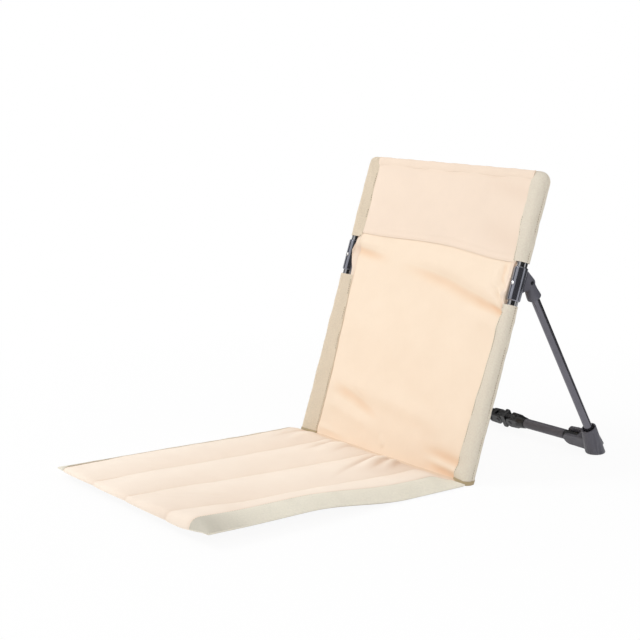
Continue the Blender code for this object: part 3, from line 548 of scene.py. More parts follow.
def sleeveMouth(side, along, into, seed):  # the open end: its wall turns in towards the pole
    outline, marks = sleeveRing(side, along)
    reach = float(sleeveReach(side, along))
    tip = np.array([reach, outline[np.argmax(outline[:, 0]), 1]])
    inward = tip * np.clip(outline[:, 0:1] / reach, 0, 1) - outline
    room = np.maximum(lengthOf(inward), 1e-6)
    rings = []
    for share, deep in sleeves["mouth"]:
        pulled = outline + inward * np.minimum(1.0, share * sleeves["wall"] / room)
        rings.append(sleevePlaced(side, wavy(pulled, marks, along, seed), along + into * deep))
    return rings


def sleevePiece(name, side, rings, uvs, finish):
    return addObject(f"{name}_{side}", tubeMesh(name, np.array(rings), np.array(uvs)), finishes[finish])


def makeLowerSleeve(side, seed):
    rings, uvs = [], []
    low, high = sleeves["low"] / math.cos(lean), chair["windowLow"]
    for k, along in enumerate(np.linspace(low, high, int((high - low) / sleeves["step"]))):
        outline, marks = sleeveRing(side, along)
        level = outline[:, 1] * math.tan(lean) * (1 - ease(k / sleeves["levelRings"]))
        rings.append(sleevePlaced(side, wavy(outline, marks, along, seed), along + level))
        uvs.append(joined(marks, along))
    for ring in sleeveMouth(side, high, -1, seed)[1:]:
        rings.append(ring)
        uvs.append(uvs[-1] + (0, 0.001))
    return sleevePiece("lowerSleeve", side, rings, uvs, f"sleeveWebbingPaintedLight_{side}")


def makeUpperSleeve(side, seed):
    turn = sleeves["corner"][side]
    low, corner = chair["windowHigh"], chair["backLength"] - turn
    rings = sleeveMouth(side, low, 1, seed)[:0:-1]
    uvs = [joined(sleeveRing(side, low)[1], low - 0.001)] * len(rings)
    bend = corner + turn * np.sin(math.pi / 2 * np.arange(1, 13) / 12)
    for along in [*np.linspace(low, corner, int((corner - low) / sleeves["step"])), *bend]:
        outline, marks = sleeveRing(side, min(along, corner))
        share = max(0.0, (along - corner) / turn)
        reach = float(sleeveReach(side, along))
        keep = 1 - turn * (1 - math.sqrt(max(0.0, 1 - share * share))) / (sleeves["radius"] + reach)
        narrowing, ending = sleeves["flatter"]
        flat = 1 - narrowing * (1 - keep) - ending * share ** 4
        outline = joined(reach + (outline[:, 0] - reach) * keep, outline[:, 1] * flat)
        rings.append(sleevePlaced(side, wavy(outline, marks, along, seed), along))
        uvs.append(joined(marks, along))
    return sleevePiece("upperSleeve", side, rings, uvs, f"sleeveWebbingPaintedLight_{side}")


def makeSleeveBinding(side):  # folded tape that closes a sleeve's lower end
    rings, uvs = [], []
    for height, grow in sleeves["binding"]:
        along = height / math.cos(lean)
        outline, marks = sleeveRing(side, max(along, 0.001), grow)
        rings.append(sleevePlaced(side, outline, along + outline[:, 1] * math.tan(lean)))
        uvs.append(joined(marks, height))
    return sleevePiece("sleeveEnd", side, rings, uvs, "khakiBinding")


sleevePieces = {}
for side, seed in (("left", 20), ("right", 40)):
    sleevePieces[side] = [makeLowerSleeve(side, seed), makeUpperSleeve(side, seed + 7), makeSleeveBinding(side)]

windowTape = {
    "low": 0.292, "high": 0.392, "thickness": 0.0016, "rows": 60, "cols": 16,
    "least": 0.002, "proud": 0.0008, "roll": 0.0003, "over": 0.0002,
    "inner": {"left": 0.008, "right": 0.005},  # how far it reaches inside the cloth's own edge
    "outer": {  # its bare edge at heights along the back; the right one laps over its bracket
        "left": [(0.292, 0.209), (0.304, 0.2112), (0.34, 0.2112), (0.378, 0.2112), (0.392, 0.2075)],
        "right": [(0.292, 0.1985), (0.305, 0.2015), (0.318, 0.2022), (0.332, 0.208), (0.351, 0.2108), (0.364, 0.2085),
                  (0.381, 0.2065), (0.392, 0.206)],
    },
    "bracket": (0.311, 0.371),
    "blend": 0.006,
    "girth": (0.0092, 0.0026),  # pole's radius, and what the bracket adds
    "clear": {"left": -0.0012, "right": 0.001},
    # painted shade on each tape beside its bracket
    "shade": {"left": 0.14, "right": 0.06},
}


def makeWindowTape(side):  # bound edge of the back, bare beside a bracket
    sign = sides[side]
    along = np.linspace(windowTape["low"], windowTape["high"], windowTape["rows"])[:, None]
    inner = panelEdge(along, side) - windowTape["inner"][side]
    outer = np.maximum(tabled(windowTape["outer"][side], along), inner + windowTape["least"])
    share = np.linspace(0, 1, windowTape["cols"])[None, :]
    x = inner + (outer - inner) * share
    depth = backDepth(sign * x, along) - windowTape["proud"] + windowTape["roll"] * np.cos(share * 2 * math.pi)
    (low, high), blend = windowTape["bracket"], windowTape["blend"]
    girth, more = windowTape["girth"]
    girth = girth + more * ease((along - low) / blend + 1) * ease((high - along) / blend + 1)
    drape = -np.sqrt(np.maximum(0, (girth + windowTape["clear"][side]) ** 2 - (poleX - x) ** 2))
    if side == "right":
        depth = np.minimum(depth, drape - windowTape["over"])
    else:
        depth = np.where(x > poleX - girth, np.maximum(depth, drape), depth)
    uv = joined(sign * x, along)
    # painted shade: the tape's colour goes darker beside the bracket
    relief = np.clip(backPaintedShade(uv) - windowTape["shade"][side], 0, 1)
    points, uv, relief = (grid[:, ::sign] for grid in (onBack(sign * x, depth, along), uv, relief))
    return clothSheet(f"windowTape_{side}", points, windowTape["thickness"], uv, finishes["blushCloth"], relief)


tapes = {side: makeWindowTape(side) for side in sides}
print("sleeves made")


# seat mat: channelled pad, side borders, underside

mat = {
    "padX": 0.196, "sidePull": 0.0025, "floor": 0.0019, "seamHeight": 0.0165, "crown": 0.007, "edge": 0.0022,
    "channels": 4, "cols": 129, "rows": 150,
    "seams": (-1.0, -0.46, 0.14, 0.76, 1.0),  # sewn lines, in shares of half the pad's width
    "frontRound": 0.009,
    "cornerRound": 0.01,  # added to it at the left corner
    "frontThin": (0.25, 1.0),  # thickness left at the front, right to left
    "frontRun": 0.14,
    "slant": (0.07, 0.087, 0.163, 0.168, 0.08),  # how far each line runs to the right at the front, same shares
    "slantRun": ((0, -1), (0.65, 0), (0.85, 0.2), (1, 0)),
    "crest": 0.66,  # moves each channel's crest towards the right
    "notch": 0.0024,  # front edge drawn in at each sewn line
    "rearTaper": 0.056, "frontLift": 0.012, "sideLift": {"left": 0.018, "right": 0.002},
    "curlWidth": 0.11, "curlFront": 0.16, "curlRear": 0.115, "curlRun": 0.2,
    "crowding": 0.11,  # of rows, towards both ends
}


def seatLift(x, y):
    rise = np.where(x > 0, mat["sideLift"]["left"], mat["sideLift"]["right"])
    strip = ease((np.abs(x) - chair["halfWidth"] + mat["curlWidth"]) / mat["curlWidth"])
    side = rise * strip * ease((seatRear - mat["curlRear"] - y) / mat["curlRun"])
    front = mat["frontLift"] * ease((seatFront + mat["curlFront"] - y) / mat["curlFront"])
    return np.cbrt(side ** 3 + front ** 3)


def matGrids(x, y, thickness, floor):  # upper and lower points of a layer
    lift = seatLift(x, y) + floor
    drawn = 1 - mat["sidePull"] * np.sin(math.pi * (y - seatFront) / (seatRear - seatFront)) / chair["halfWidth"]
    return [joined(x * drawn, y, height) for height in (lift + thickness, lift)]


def matRows():
    t = np.linspace(0, 1, mat["rows"])[:, None]
    return t - mat["crowding"] * np.sin(2 * math.pi * t) / math.pi


def channelPart(s):  # 0 to 1 across a channel
    place = np.interp(s, mat["seams"], range(mat["channels"] + 1))
    return place - np.floor(np.minimum(place, mat["channels"] - 1e-9))


def channelShare(s):  # 0 at a sewn line, 1 at a channel's crest
    return np.abs(np.sin(math.pi * channelPart(s) ** mat["crest"]))


def slanted(s, t):  # shift of a line at a share of the mat's length
    return np.interp(s, mat["seams"], mat["slant"]) * tabled(mat["slantRun"], t)


def frontEdge(s):
    return seatFront + mat["notch"] * (1 - channelShare(s) ** 0.5)


def endTaper(y, front, s):
    toLeft = (s + 1) / 2
    reach = np.clip((y - front) / (mat["frontRound"] + mat["cornerRound"] * toLeft ** 8), 0, 1)
    far, near = mat["frontThin"]
    thin = far + (near - far) * toLeft ** 4
    thin = thin + (1 - thin) * ease((y - front) / mat["frontRun"])
    return np.sqrt(1 - (1 - reach) ** 2) * thin * ease((seatRear + 0.004 - y) / mat["rearTaper"])


s = np.interp(np.linspace(0, mat["channels"], mat["cols"]), range(mat["channels"] + 1), mat["seams"])[None, :]
t = matRows()
front = frontEdge(s)
y = front + (seatRear - front) * t
x = (s + slanted(s, t)) * mat["padX"]
widths = np.sqrt(np.diff(mat["seams"]) / max(np.diff(mat["seams"])))
channel = np.clip(np.searchsorted(mat["seams"], s) - 1, 0, mat["channels"] - 1)
full = mat["seamHeight"] + mat["crown"] * channelShare(s) ** 0.55 * widths[channel]
thickness = mat["edge"] + (full - mat["edge"]) * endTaper(y, front, s)
padTop, padUnder = matGrids(x, y, thickness, mat["floor"])
padUv = joined(x, y)
seamStep = (mat["cols"] - 1) // mat["channels"]

padCloth = {
    "frames": 22,
    "most": 0.005,  # cap on how far a point moves
    "settings": {
        "quality": 6, "mass": 0.15, "tension_stiffness": 12, "compression_stiffness": 8, "shear_stiffness": 4,
        "bending_stiffness": 0.3, "vertex_group_mass": "sewn", "use_pressure": True, "uniform_pressure_force": 2.0,
    },
}


def simulatePad(top):
    grid = gridOf(*top.shape[:2])
    cover = addObject("padCover", meshFrom("padCover", top.reshape(-1, 3), gridFaces(grid)))
    sewn = np.concatenate([grid[:, ::seamStep].ravel(), grid[[0, -1]].ravel()])
    cover.vertex_groups.new(name="sewn").add(sewn.tolist(), 1.0, "REPLACE")
    cloth = cover.modifiers.new("Cloth", "CLOTH")
    for label, value in padCloth["settings"].items():
        setattr(cloth.settings, label, value)
    cloth.settings.effector_weights.gravity = 0
    cloth.collision_settings.use_collision = False
    cloth.point_cache.frame_start = 1
    cloth.point_cache.frame_end = padCloth["frames"]
    for number in range(1, padCloth["frames"] + 1):
        scene.frame_set(number)
    settled = coordsOf(cover.evaluated_get(bpy.context.evaluated_depsgraph_get()).to_mesh())
    scene.frame_set(1)
    bpy.data.objects.remove(cover, do_unlink=True)
    moved = settled.reshape(top.shape) - top
    length = lengthOf(moved)
    print("pad cover moved by up to", round(float(length.max()) * 1000, 1), "mm")
    return top + moved * np.minimum(1.0, padCloth["most"] / np.maximum(length, 1e-9))


padFade = (0.05, 0.6)
padFolds = [  # drawn from the ends of the sewn lines at the fold
    ([(46, 62), (70, 0), (100, -70), (130, -130)], 4.8, -2.8, padFade),
    ([(58, 62), (85, 0), (115, -65)], 5.6, 2.6, padFade),
    ([(70, 60), (97, 10), (128, -45)], 4.4, -2.8, padFade),
    ([(83, 60), (110, 18), (136, -30)], 4.8, 2.2, padFade),
    ([(96, 58), (120, 25), (142, -8)], 4.5, -2, padFade),
    ([(-66, 60), (-52, 0), (-30, -70)], 5, -2.6, padFade),
    ([(-50, 60), (-34, 5), (-12, -50)], 6.2, 2, padFade),
    ([(-30, 60), (-14, 15), (6, -30)], 5, -1.8, padFade),
    ([(-160, 58), (-150, 0), (-135, -60)], 6, -1.8, padFade),
    ([(-140, 60), (-128, 5), (-112, -45)], 6, 1.6, padFade),
]
padPucker = {"height": 0.00028, "size": 0.05, "stretch": 0.35, "seed": 81, "away": 0.012}
# painted shade on the pad: along the sewn lines and the far edge, on each channel's right slope, towards the front
# and rear, and in a spot near the rear
padPaintedShadeTable = {
    "seam": (0.1, 0.004), "farEdge": (0.3, 0.0028),  # how strong the painted shade is, over what width
    "front": (0.06, -0.22, 0.16), "rear": (0.05, -0.06, 0.08), "rearCrest": (0.22, 0.01, 0.05),  # how strong the painted shade is, where it starts, its run
    "nearRear": (0.25, 0.11, 0.05, 0.022, 0.055),
    "slope": 0.17, "slopeFrom": 0.35, "lastSlope": 0.2, "folds": 0.0085,
}


def paintedShadeBand(key, gap):
    weight, width = padPaintedShadeTable[key]
    return weight * bell(gap, width)


def paintedShadeRamp(key, place):
    weight, start, run = padPaintedShadeTable[key]
    return weight * ease((place - start) / run)


padTop = simulatePad(padTop)
padX, padY = padTop[..., 0], padTop[..., 1]
seamGap = np.abs(s[..., None] - np.array(mat["seams"])).min(axis=-1) * mat["padX"]
pucker = padPucker["height"] * ripples(padY, padX * padPucker["stretch"], padPucker["size"], padPucker["seed"])
pucker = pucker * bell(seamGap - padPucker["away"], padPucker["away"])
wrinkle = creases(padX, padY, padFolds) * ease((seatRear - padY) / 0.02)
padTop[..., 2] += (wrinkle + pucker) * ease((padY - seatFront) / 0.03)
# painted shade across each channel, along the seams and edges, and at the front and rear
slope = padPaintedShadeTable["slope"] * np.where(s < mat["seams"][-2], 1, padPaintedShadeTable["lastSlope"])
toLeft = ease((s + 0.4) / 0.8)
shade = paintedShadeBand("seam", seamGap) + slope * np.clip(channelPart(s) - padPaintedShadeTable["slopeFrom"], 0, 1)
shade = shade + paintedShadeBand("farEdge", (s + 1) * mat["padX"]) + spot(padX, padY, *padPaintedShadeTable["nearRear"])
shade = shade + paintedShadeRamp("front", seatFront - padY) * toLeft + paintedShadeRamp("rear", padY)
shade = shade + paintedShadeRamp("rearCrest", padY) * channelShare(s)
padPaintedShadeLayer = np.clip(0.5 + wrinkle / padPaintedShadeTable["folds"] - shade, 0, 1)
seatPad = slab("seatPad", padTop, padUnder, padUv, finishes["creamCloth"], padPaintedShadeLayer)

border = {
    "edge": 0.0026, "cols": 16, "lap": 0.0002, "bulge": 0.0022, "crest": 0.8,
    "frontBulge": (0.003, 0.1),  # height, run from the front
    "creases": 0.0009, "creaseSize": 0.045, "creasePaintedShade": 0.03,
    "piping": {"left": 0.0004, "right": 0.0025},
    # painted shade beside the right border's piping, and at each border's front
    "pipingShade": {"left": 0.0, "right": 0.17},
    "pipingWidth": 0.16, "pipingShadeWidth": 0.35,
    "frontShade": {"left": 0.31, "right": 0.06},
    "frontShadeRun": 0.13,
}


def makeBorder(side):
    sign = sides[side]
    u, t = np.linspace(0, 1, border["cols"])[None, :], matRows()
    front = frontEdge(1.0)
    y = front + (seatRear - front) * t
    inner = mat["padX"] * (1 + sign * slanted(sign, t)) + border["lap"]
    x = inner + (chair["halfWidth"] - inner) * u
    taper = endTaper(y, front, sign)
    top = mat["edge"] + (mat["seamHeight"] - mat["edge"]) * taper
    edge = np.minimum(border["edge"], top)
    uneven = ripples(y, x * 0.6, border["creaseSize"], 60 + sign)
    height, run = border["frontBulge"]
    bulge = border["bulge"] + height * ease((seatFront + run - y) / run) + border["creases"] * uneven
    slope = edge + (top - edge) * (1 - u) + bulge * np.sin(math.pi * u ** border["crest"]) * taper
    piping = bell(u, border["pipingWidth"]) * ease((y - seatFront) / 0.02) * ease((seatRear - y) / 0.05)
    grids = matGrids(sign * x, y, slope + border["piping"][side] * piping, mat["floor"])
    # painted shade: at the front, beside the piping, and in the creases
    run = border["frontShadeRun"]
    shade = border["frontShade"][side] * ease((seatFront + run - y) / run)
    shade = shade + border["pipingShade"][side] * bell(u, border["pipingShadeWidth"])
    relief = np.clip(0.5 + border["creasePaintedShade"] * uneven - shade, 0, 1)
    upper, lower, uv, relief = (grid[:, ::sign] for grid in (*grids, joined(x, y), relief))
    return slab(f"seatBorder_{side}", upper, lower, uv, finishes["borderWebbing"], relief)


borders = {side: makeBorder(side) for side in sides}

underside = {"cols": 60, "rows": 90, "thickness": 0.0015, "inset": 0.0035, "frontInset": 0.0065}
xRow = np.linspace(-1, 1, underside["cols"])[None, :] * (chair["halfWidth"] - underside["inset"])
yCol = np.linspace(seatFront + underside["frontInset"], seatRear, underside["rows"])[:, None]
upper, lower = matGrids(xRow, yCol, underside["thickness"], 0.0)
seatBase = slab("seatBase", upper, lower, joined(xRow, yCol), finishes["baseCloth"])

foldTape = {
    "halfWidth": 0.199, "cols": 90, "rows": 10, "thickness": 0.0014, "lap": 0.001, "depth": 0.0104, "low": 0.0022,
    "rise": 0.002, "uneven": 0.0002,
}
xRow = np.linspace(-foldTape["halfWidth"], foldTape["halfWidth"], foldTape["cols"])[None, :]
turn = np.linspace(0, 1, foldTape["rows"])[:, None]
yCol = seatRear - foldTape["lap"] + foldTape["depth"] * turn
zCol = foldTape["low"] + foldTape["rise"] * turn ** 2 + foldTape["uneven"] * ripples(xRow, yCol, 0.05, 71)
hingeTape = clothSheet("foldTape", joined(xRow, yCol, zCol), foldTape["thickness"], joined(xRow, yCol),
                       finishes["foldCloth"])
print("seat made")


# stitches: one tree that lays short threads along lines

def stitchTree():
    tree = bpy.data.node_groups.new("stitchRow", "GeometryNodeTree")
    kinds = {"Lines": "Geometry", "Pitch": "Float", "Length": "Float", "Width": "Float", "Thread": "Material"}
    for label, kind in kinds.items():
        tree.interface.new_socket(label, in_out="INPUT", socket_type=f"NodeSocket{kind}")
    tree.interface.new_socket("Stitches", in_out="OUTPUT", socket_type="NodeSocketGeometry")
    given = tree.nodes.new("NodeGroupInput").outputs
    result = tree.nodes.new("NodeGroupOutput")

    def step(kind, inputs, **settings):
        return addNode(tree, kind, inputs, **settings).outputs[0]

    curve = step("GeometryNodeMeshToCurve", {0: given["Lines"]})
    evenly = step("GeometryNodeResampleCurve", {"Curve": curve, "Length": given["Pitch"]}, mode="LENGTH")
    thread = step("GeometryNodeMeshUVSphere", {"Segments": 6, "Rings": 4, "Radius": 0.5})
    size = step("ShaderNodeCombineXYZ", {0: given["Length"], 1: given["Width"], 2: given["Width"]})
    long = step("GeometryNodeTransform", {"Geometry": thread, "Scale": size})
    tangent = step("GeometryNodeInputTangent", {})
    turned = step("FunctionNodeAlignRotationToVector", {"Vector": tangent}, axis="X")
    placed = step("GeometryNodeInstanceOnPoints", {"Points": evenly, "Instance": long, "Rotation": turned})
    real = step("GeometryNodeRealizeInstances", {0: placed})
    dressed = step("GeometryNodeSetMaterial", {"Geometry": real, "Material": given["Thread"]})
    tree.links.new(dressed, result.inputs[0])
    return tree


stitching = {"Pitch": 0.0042, "Length": 0.003, "Width": 0.0011}
stitchNodes = stitchTree()


def makeStitches(name, lines, finish, **sizes):
    points, edges = [], []
    for line in lines:
        edges += [(len(points) + k, len(points) + k + 1) for k in range(len(line) - 1)]
        points += [tuple(point) for point in line]
    mesh = bpy.data.meshes.new(name)
    mesh.from_pydata(points, edges, [])
    made = addObject(name, mesh)
    modifier = made.modifiers.new("stitchRow", "NODES")
    modifier.node_group = stitchNodes
    values = stitching | sizes | {"Thread": finishes[finish]}
    for item in stitchNodes.interface.items_tree:
        if item.name in values:
            modifier[item.identifier] = values[item.name]
    print(name, len(bake(made).polygons), "faces")
    return made


def backLine(low, proud, halfSpan=0.198):
    x = np.linspace(-halfSpan, halfSpan, 120)
    along = low(x)
    return onBack(x, backDepth(x, along) - proud, along)


headForward = headrest["forward"] + 0.0001
backStitches = makeStitches("backStitches", [
    backLine(lambda x: headrestLow(x) + headrest["hem"], headForward - 0.0004),
    backLine(lambda x: headrestLow(x) + 0.003, headForward + 0.0004),
    backLine(lambda x: 0 * x + topHem["low"] - 0.0016, headForward),
], "paleThread", Width=0.0006)


def sleeveSeam(side, low, high, inset=0.0012):
    rows = []
    for along in np.linspace(low, high, 60):
        outline, _ = sleeveRing(side, along)
        place = float(sleeveReach(side, along)) - inset
        facing = outline[outline[:, 1] < outline[np.argmax(outline[:, 0]), 1] + 0.002]
        facing = facing[np.argsort(facing[:, 0])]
        depth = float(np.interp(place, *facing.T))
        rows.append(onBack(sides[side] * (poleX - place), depth - 0.0002, along))
    return rows


def sleeveOuter(side, low, high):
    place = poleX + sleeves["radius"] - sleeves["groove"][0] + 0.0002
    return onBack(sides[side] * place, 0.0, np.linspace(low, high, 60))


sleeveStitches = {}
for side in sides:
    sleeveStitches[side] = makeStitches(f"sleeveStitches_{side}", [
        sleeveSeam(side, 0.01, chair["windowLow"] - 0.002),
        sleeveSeam(side, chair["windowHigh"] + 0.002, 0.516),
        sleeveOuter(side, 0.012, chair["windowLow"] - 0.003),
        sleeveOuter(side, chair["windowHigh"] + 0.003, 0.512),
    ], "tanThread")


def topLine(column):
    return padTop[3:-3, column] + (0, 0, 0.0003)


seatStitches = makeStitches("seatStitches", [topLine(seamStep * k) for k in (1, 2, 3)], "paleThread")
edgeStitches = makeStitches("seatEdgeStitches", [topLine(0), topLine(-1)], "edgeThread", Width=0.0009)
print("stitches made")


# hard parts: tubes turned anew, mouldings smoothed from the solids

tubes = {
    "around": 48, "edge": 0.0004,
    "poleRadius": 0.009, "poleEnds": (0.014, 0.513),
    "legRadius": 0.0075, "legEnds": (-0.344064, -0.0223), "pivotY": 0.225234, "pivotZ": 0.323971,
    "barRadius": 0.009, "barY": 0.40286, "barZ": 0.02, "barOuter": 0.1497, "barInner": 0.0502,
    "barrel": 0.0115, "barrelBand": (0.0008, 0.0004), "lug": 0.0124,
    "armHalf": 0.0107, "armFlank": 0.0009, "armInside": -0.012, "cup": ((0.01, 0.016), (0.045, 0.0122)),
}


def makeTube(name, radius, ends, origin, axis, finish):
    axis = Vector(axis).normalized()
    sideways = axis.orthogonal().normalized()
    angles, (low, high), edge = roundTurn(tubes["around"]), ends, tubes["edge"]
    circle = np.outer(np.cos(angles), sideways) + np.outer(np.sin(angles), axis.cross(sideways))
    profile = ((radius - edge, low), (radius, low + edge), (radius, high - edge), (radius - edge, high))
    rings = [np.array(origin) + np.array(axis) * place + circle * size for size, place in profile]
    return addObject(name, tubeMesh(name, np.array(rings)), finishes[finish])


hardPieces = {}
for side, sign in sides.items():
    base = (sign * poleX, chair["seamY"], 0)
    pole = makeTube(f"poleTube_{side}", tubes["poleRadius"], tubes["poleEnds"], base, poleWay, "blackTube")
    pivot = (sign * poleX, tubes["pivotY"], tubes["pivotZ"])
    leg = makeTube(f"legTube_{side}", tubes["legRadius"], tubes["legEnds"], pivot, legWay, "greyTube")
    ends = sorted((sign * tubes["barOuter"], sign * tubes["barInner"]))
    middle = (0, tubes["barY"], tubes["barZ"])
    bar = makeTube(f"barTube_{side}", tubes["barRadius"], ends, middle, (1, 0, 0), "barTube")
    hardPieces[f"pole_{side}"] = (pole, f"{side}_side", "black_gloss_tube")
    hardPieces[f"leg_{side}"] = (leg, f"{side}_leg", "grey_satin_tube")
    hardPieces[f"crossbar_{side}"] = (bar, f"{side}_bar", "grey_satin_tube")

moulded = {  # node: name, finish, voxel size, rounds of smoothing, body, slot
    "bracket": ("bracketBody", "gunmetal", 0.0005, 8, "side", "gunmetal_plastic"),
    "foot": ("footCup", "greyPlastic", 0.0006, 8, "leg", "grey_plastic"),
    "crossbar_tongue": ("crossbarTongue", "blackPlastic", 0.00055, 6, "bar", "black_plastic"),
    "crossbar_fork": ("crossbarFork", "blackPlastic", 0.0005, 6, "bar", "black_plastic"),
}


def trimFoot(mesh, sign):  # takes the arm's corner back into the cup
    co = coordsOf(mesh)
    out = (co[:, 0] - sign * poleX) * sign
    axisY = tubes["barY"] - (co[:, 2] - tubes["barZ"]) * math.tan(legLean)
    back = (co[:, 1] - axisY) * math.cos(legLean)
    reach = np.hypot(out, back)
    limit = tabled(tubes["cup"], co[:, 2])
    flank = np.abs(np.abs(back) - tubes["armHalf"]) < tubes["armFlank"]
    corner = flank & (out > tubes["armInside"]) & (reach > limit)
    keep = np.where(corner, limit / np.maximum(reach, 1e-9), 1.0)
    co[:, 0] = sign * (poleX + out * keep)
    co[:, 1] = axisY + back * keep / math.cos(legLean)
    mesh.vertices.foreach_set("co", co.ravel())


def fromPole(places, sign):  # square to a pole's axis
    offset = places - (sign * poleX, chair["seamY"], 0.0)
    return offset - np.outer(offset @ poleWay, poleWay)


def finishBarrel(mesh, sign):  # the lug is matt like the knuckle; the voxels' ripple comes off the barrel
    mesh.materials.append(finishes["greyPlastic"])
    centres = np.array([tuple(face.center) for face in mesh.polygons])
    lug = np.linalg.norm(fromPole(centres, sign), axis=1) > tubes["lug"]
    mesh.polygons.foreach_set("material_index", lug.astype(np.int32))
    co = coordsOf(mesh)
    out = fromPole(co, sign)
    away = lengthOf(out)
    band, fade = tubes["barrelBand"]
    near = ease((band - np.abs(away - tubes["barrel"])) / fade)
    co += out * near * (tubes["barrel"] / np.maximum(away, 1e-9) - 1)
    mesh.vertices.foreach_set("co", co.ravel())


def smoothMoulding(name, node, finish, voxel, rounds, sign=0):
    mesh = cadNodes[node].data.copy()
    editMesh(mesh, lambda shape: bmesh.ops.remove_doubles(shape, verts=shape.verts, dist=1e-5))
    made = addObject(name, mesh, finishes[finish])
    if node.startswith("foot"):
        trimFoot(mesh, sign)
    remesh = made.modifiers.new("Remesh", "REMESH")
    remesh.mode, remesh.voxel_size = "VOXEL", voxel
    soften = made.modifiers.new("Smooth", "SMOOTH")
    soften.factor, soften.iterations = 0.5, rounds
    done = bake(made)
    done.materials.clear()
    done.materials.append(finishes[finish])
    if node.startswith("bracket"):
        finishBarrel(done, sign)
    return made


for base, (name, finish, voxel, rounds, part, slot) in moulded.items():
    for side, sign in sides.items():
        made = smoothMoulding(f"{name}_{side}", f"{base}_{side}", finish, voxel, rounds, sign)
        hardPieces[f"{base}_{side}"] = (made, f"{side}_{part}", slot)

knuckle = {
    "sections": [  # mm below the pivot, half width, half depth, squareness, shift to the rear
        (-21, 3, 2.6, 2.2, 0), (-20, 6.8, 5.2, 2.3, 0), (-17, 8.8, 6.8, 2.5, 0), (-8, 9.6, 8, 2.6, 0),
        (0, 9.8, 8.7, 2.5, 0), (10, 10, 9, 2.4, 0.2), (17, 10.4, 10.6, 2.3, -0.5), (23, 11, 11.9, 2.1, -0.6),
        (28, 11.7, 12.7, 2, -0.2), (30.8, 11.8, 12.7, 2, -0.1), (31.8, 11.2, 12, 2, -0.1), (31.6, 9.6, 9.8, 2, 0),
        (29, 8.4, 8.4, 2, 0),
    ],
    "between": 4,
    "around": 56,
}


def makeKnuckle(side):  # funnel over the leg's top, astride the bracket's lugs
    pivot = np.array([sides[side] * poleX, tubes["pivotY"], tubes["pivotZ"]])
    rear = np.array([0, math.cos(legLean), math.sin(legLean)])
    places = np.array(knuckle["sections"]) * (0.001, 0.001, 0.001, 1, 0.001)
    cos, sin = np.cos(roundTurn(knuckle["around"])), np.sin(roundTurn(knuckle["around"]))
    rings = []
    for k in np.arange(knuckle["between"] * (len(places) - 1) + 1) / knuckle["between"]:
        far, wide, deep, square, shift = (np.interp(k, range(len(places)), column) for column in places.T)
        size = (np.abs(cos) ** square + np.abs(sin) ** square) ** (-1 / square)
        across, behind = np.outer(cos * size * wide, (1, 0, 0)), np.outer(sin * size * deep + shift, rear)
        rings.append(pivot - legWay * far + across + behind)
    return addObject(f"legKnuckle_{side}", tubeMesh("legKnuckle", np.array(rings)), finishes["greyPlastic"])


for side in sides:
    hardPieces[f"leg_knuckle_{side}"] = (makeKnuckle(side), f"{side}_leg", "grey_plastic")
made = smoothMoulding("hingeBlock", "crossbar_hinge_block", "blackPlastic", 0.00045, 6)
hardPieces["crossbar_hinge_block"] = (made, "middle_hinge", "black_plastic")
print("hard parts made:", len(hardPieces))

keptFinishes = {"pole_bottom_plug": "blackPlastic", "pole_top_plug": "blackPlastic", "bracket_rivet": "steel",
                "leg_pin": "darkSteel", "foot_pin": "darkSteel", "crossbar_hinge_pin": "darkSteel"}
for base, finish in keptFinishes.items():
    for side in sides:
        held = cadNodes[f"{base}_{side}"]
        held.data.materials.clear()
        held.data.materials.append(finishes[finish])


# what each piece rides on; the cloth across the frame gets its own copy of its mesh

drawBack = {"anchor": (0.2003, 0, 0), "keep": 0.27}
drawSeat = {"anchor": (0.23, 0, 0), "keep": 0.3615}


def dress(piece, body, nodes=(), draw=None):
    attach(piece, body)
    if nodes:
        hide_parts(*nodes)
    if draw:
        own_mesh(piece)


for node, (piece, body, slot) in hardPieces.items():
    dress(piece, body, [node])
for piece, slot, node in ((lowerBack, "peach_cloth", "back_panel"), (upperBack, "blush_cloth", "headrest_panel"),
                          (backHem, "blush_cloth", "top_hem"), (hingeTape, "khaki_binding", "seat_hinge_strip")):
    dress(piece, "left_side", [node], drawBack)
dress(backStitches, "left_side", draw=drawBack)
for side in sides:
    lowerSleeve, upperSleeve, sleeveEnd = sleevePieces[side]
    dress(lowerSleeve, f"{side}_side", [f"lower_sleeve_{side}"])
    dress(upperSleeve, f"{side}_side", [f"upper_sleeve_{side}"])
    dress(sleeveEnd, f"{side}_side", [f"sleeve_binding_{side}"])
    dress(sleeveStitches[side], f"{side}_side")
    dress(tapes[side], "left_side", draw=drawBack)
    dress(borders[side], "seat", [f"seat_border_{side}"], drawSeat)
dress(seatPad, "seat", ["seat_pad"], drawSeat)
dress(seatBase, "seat", ["seat_underside"], drawSeat)
dress(seatStitches, "seat", draw=drawSeat)
dress(edgeStitches, "seat", draw=drawSeat)


# floor, light and camera

stageSet = {
    "floorSize": 8.0, "floorZ": -0.0004, "floorTone": 0.9, "fill": 0.59,
    "clear": 0.93, "clearFrom": 0.5, "clearTo": 1.3,
}


def emptyTree(owner):
    owner.use_nodes = True
    owner.node_tree.nodes.clear()
    return owner.node_tree


def seenDirectly(tree):  # camera, mirror and glass rays
    path = tree.nodes.new("ShaderNodeLightPath")
    seen = mathNode(tree, "MAXIMUM", path.outputs["Is Camera Ray"], path.outputs["Is Glossy Ray"])
    return mathNode(tree, "MAXIMUM", seen, path.outputs["Is Transmission Ray"])


def mixOut(tree, kind, share, first, second):
    mix = addNode(tree, "ShaderNodeMixShader", {0: share, 1: first.outputs[0], 2: second.outputs[0]})
    tree.links.new(mix.outputs[0], tree.nodes.new(kind).inputs[0])


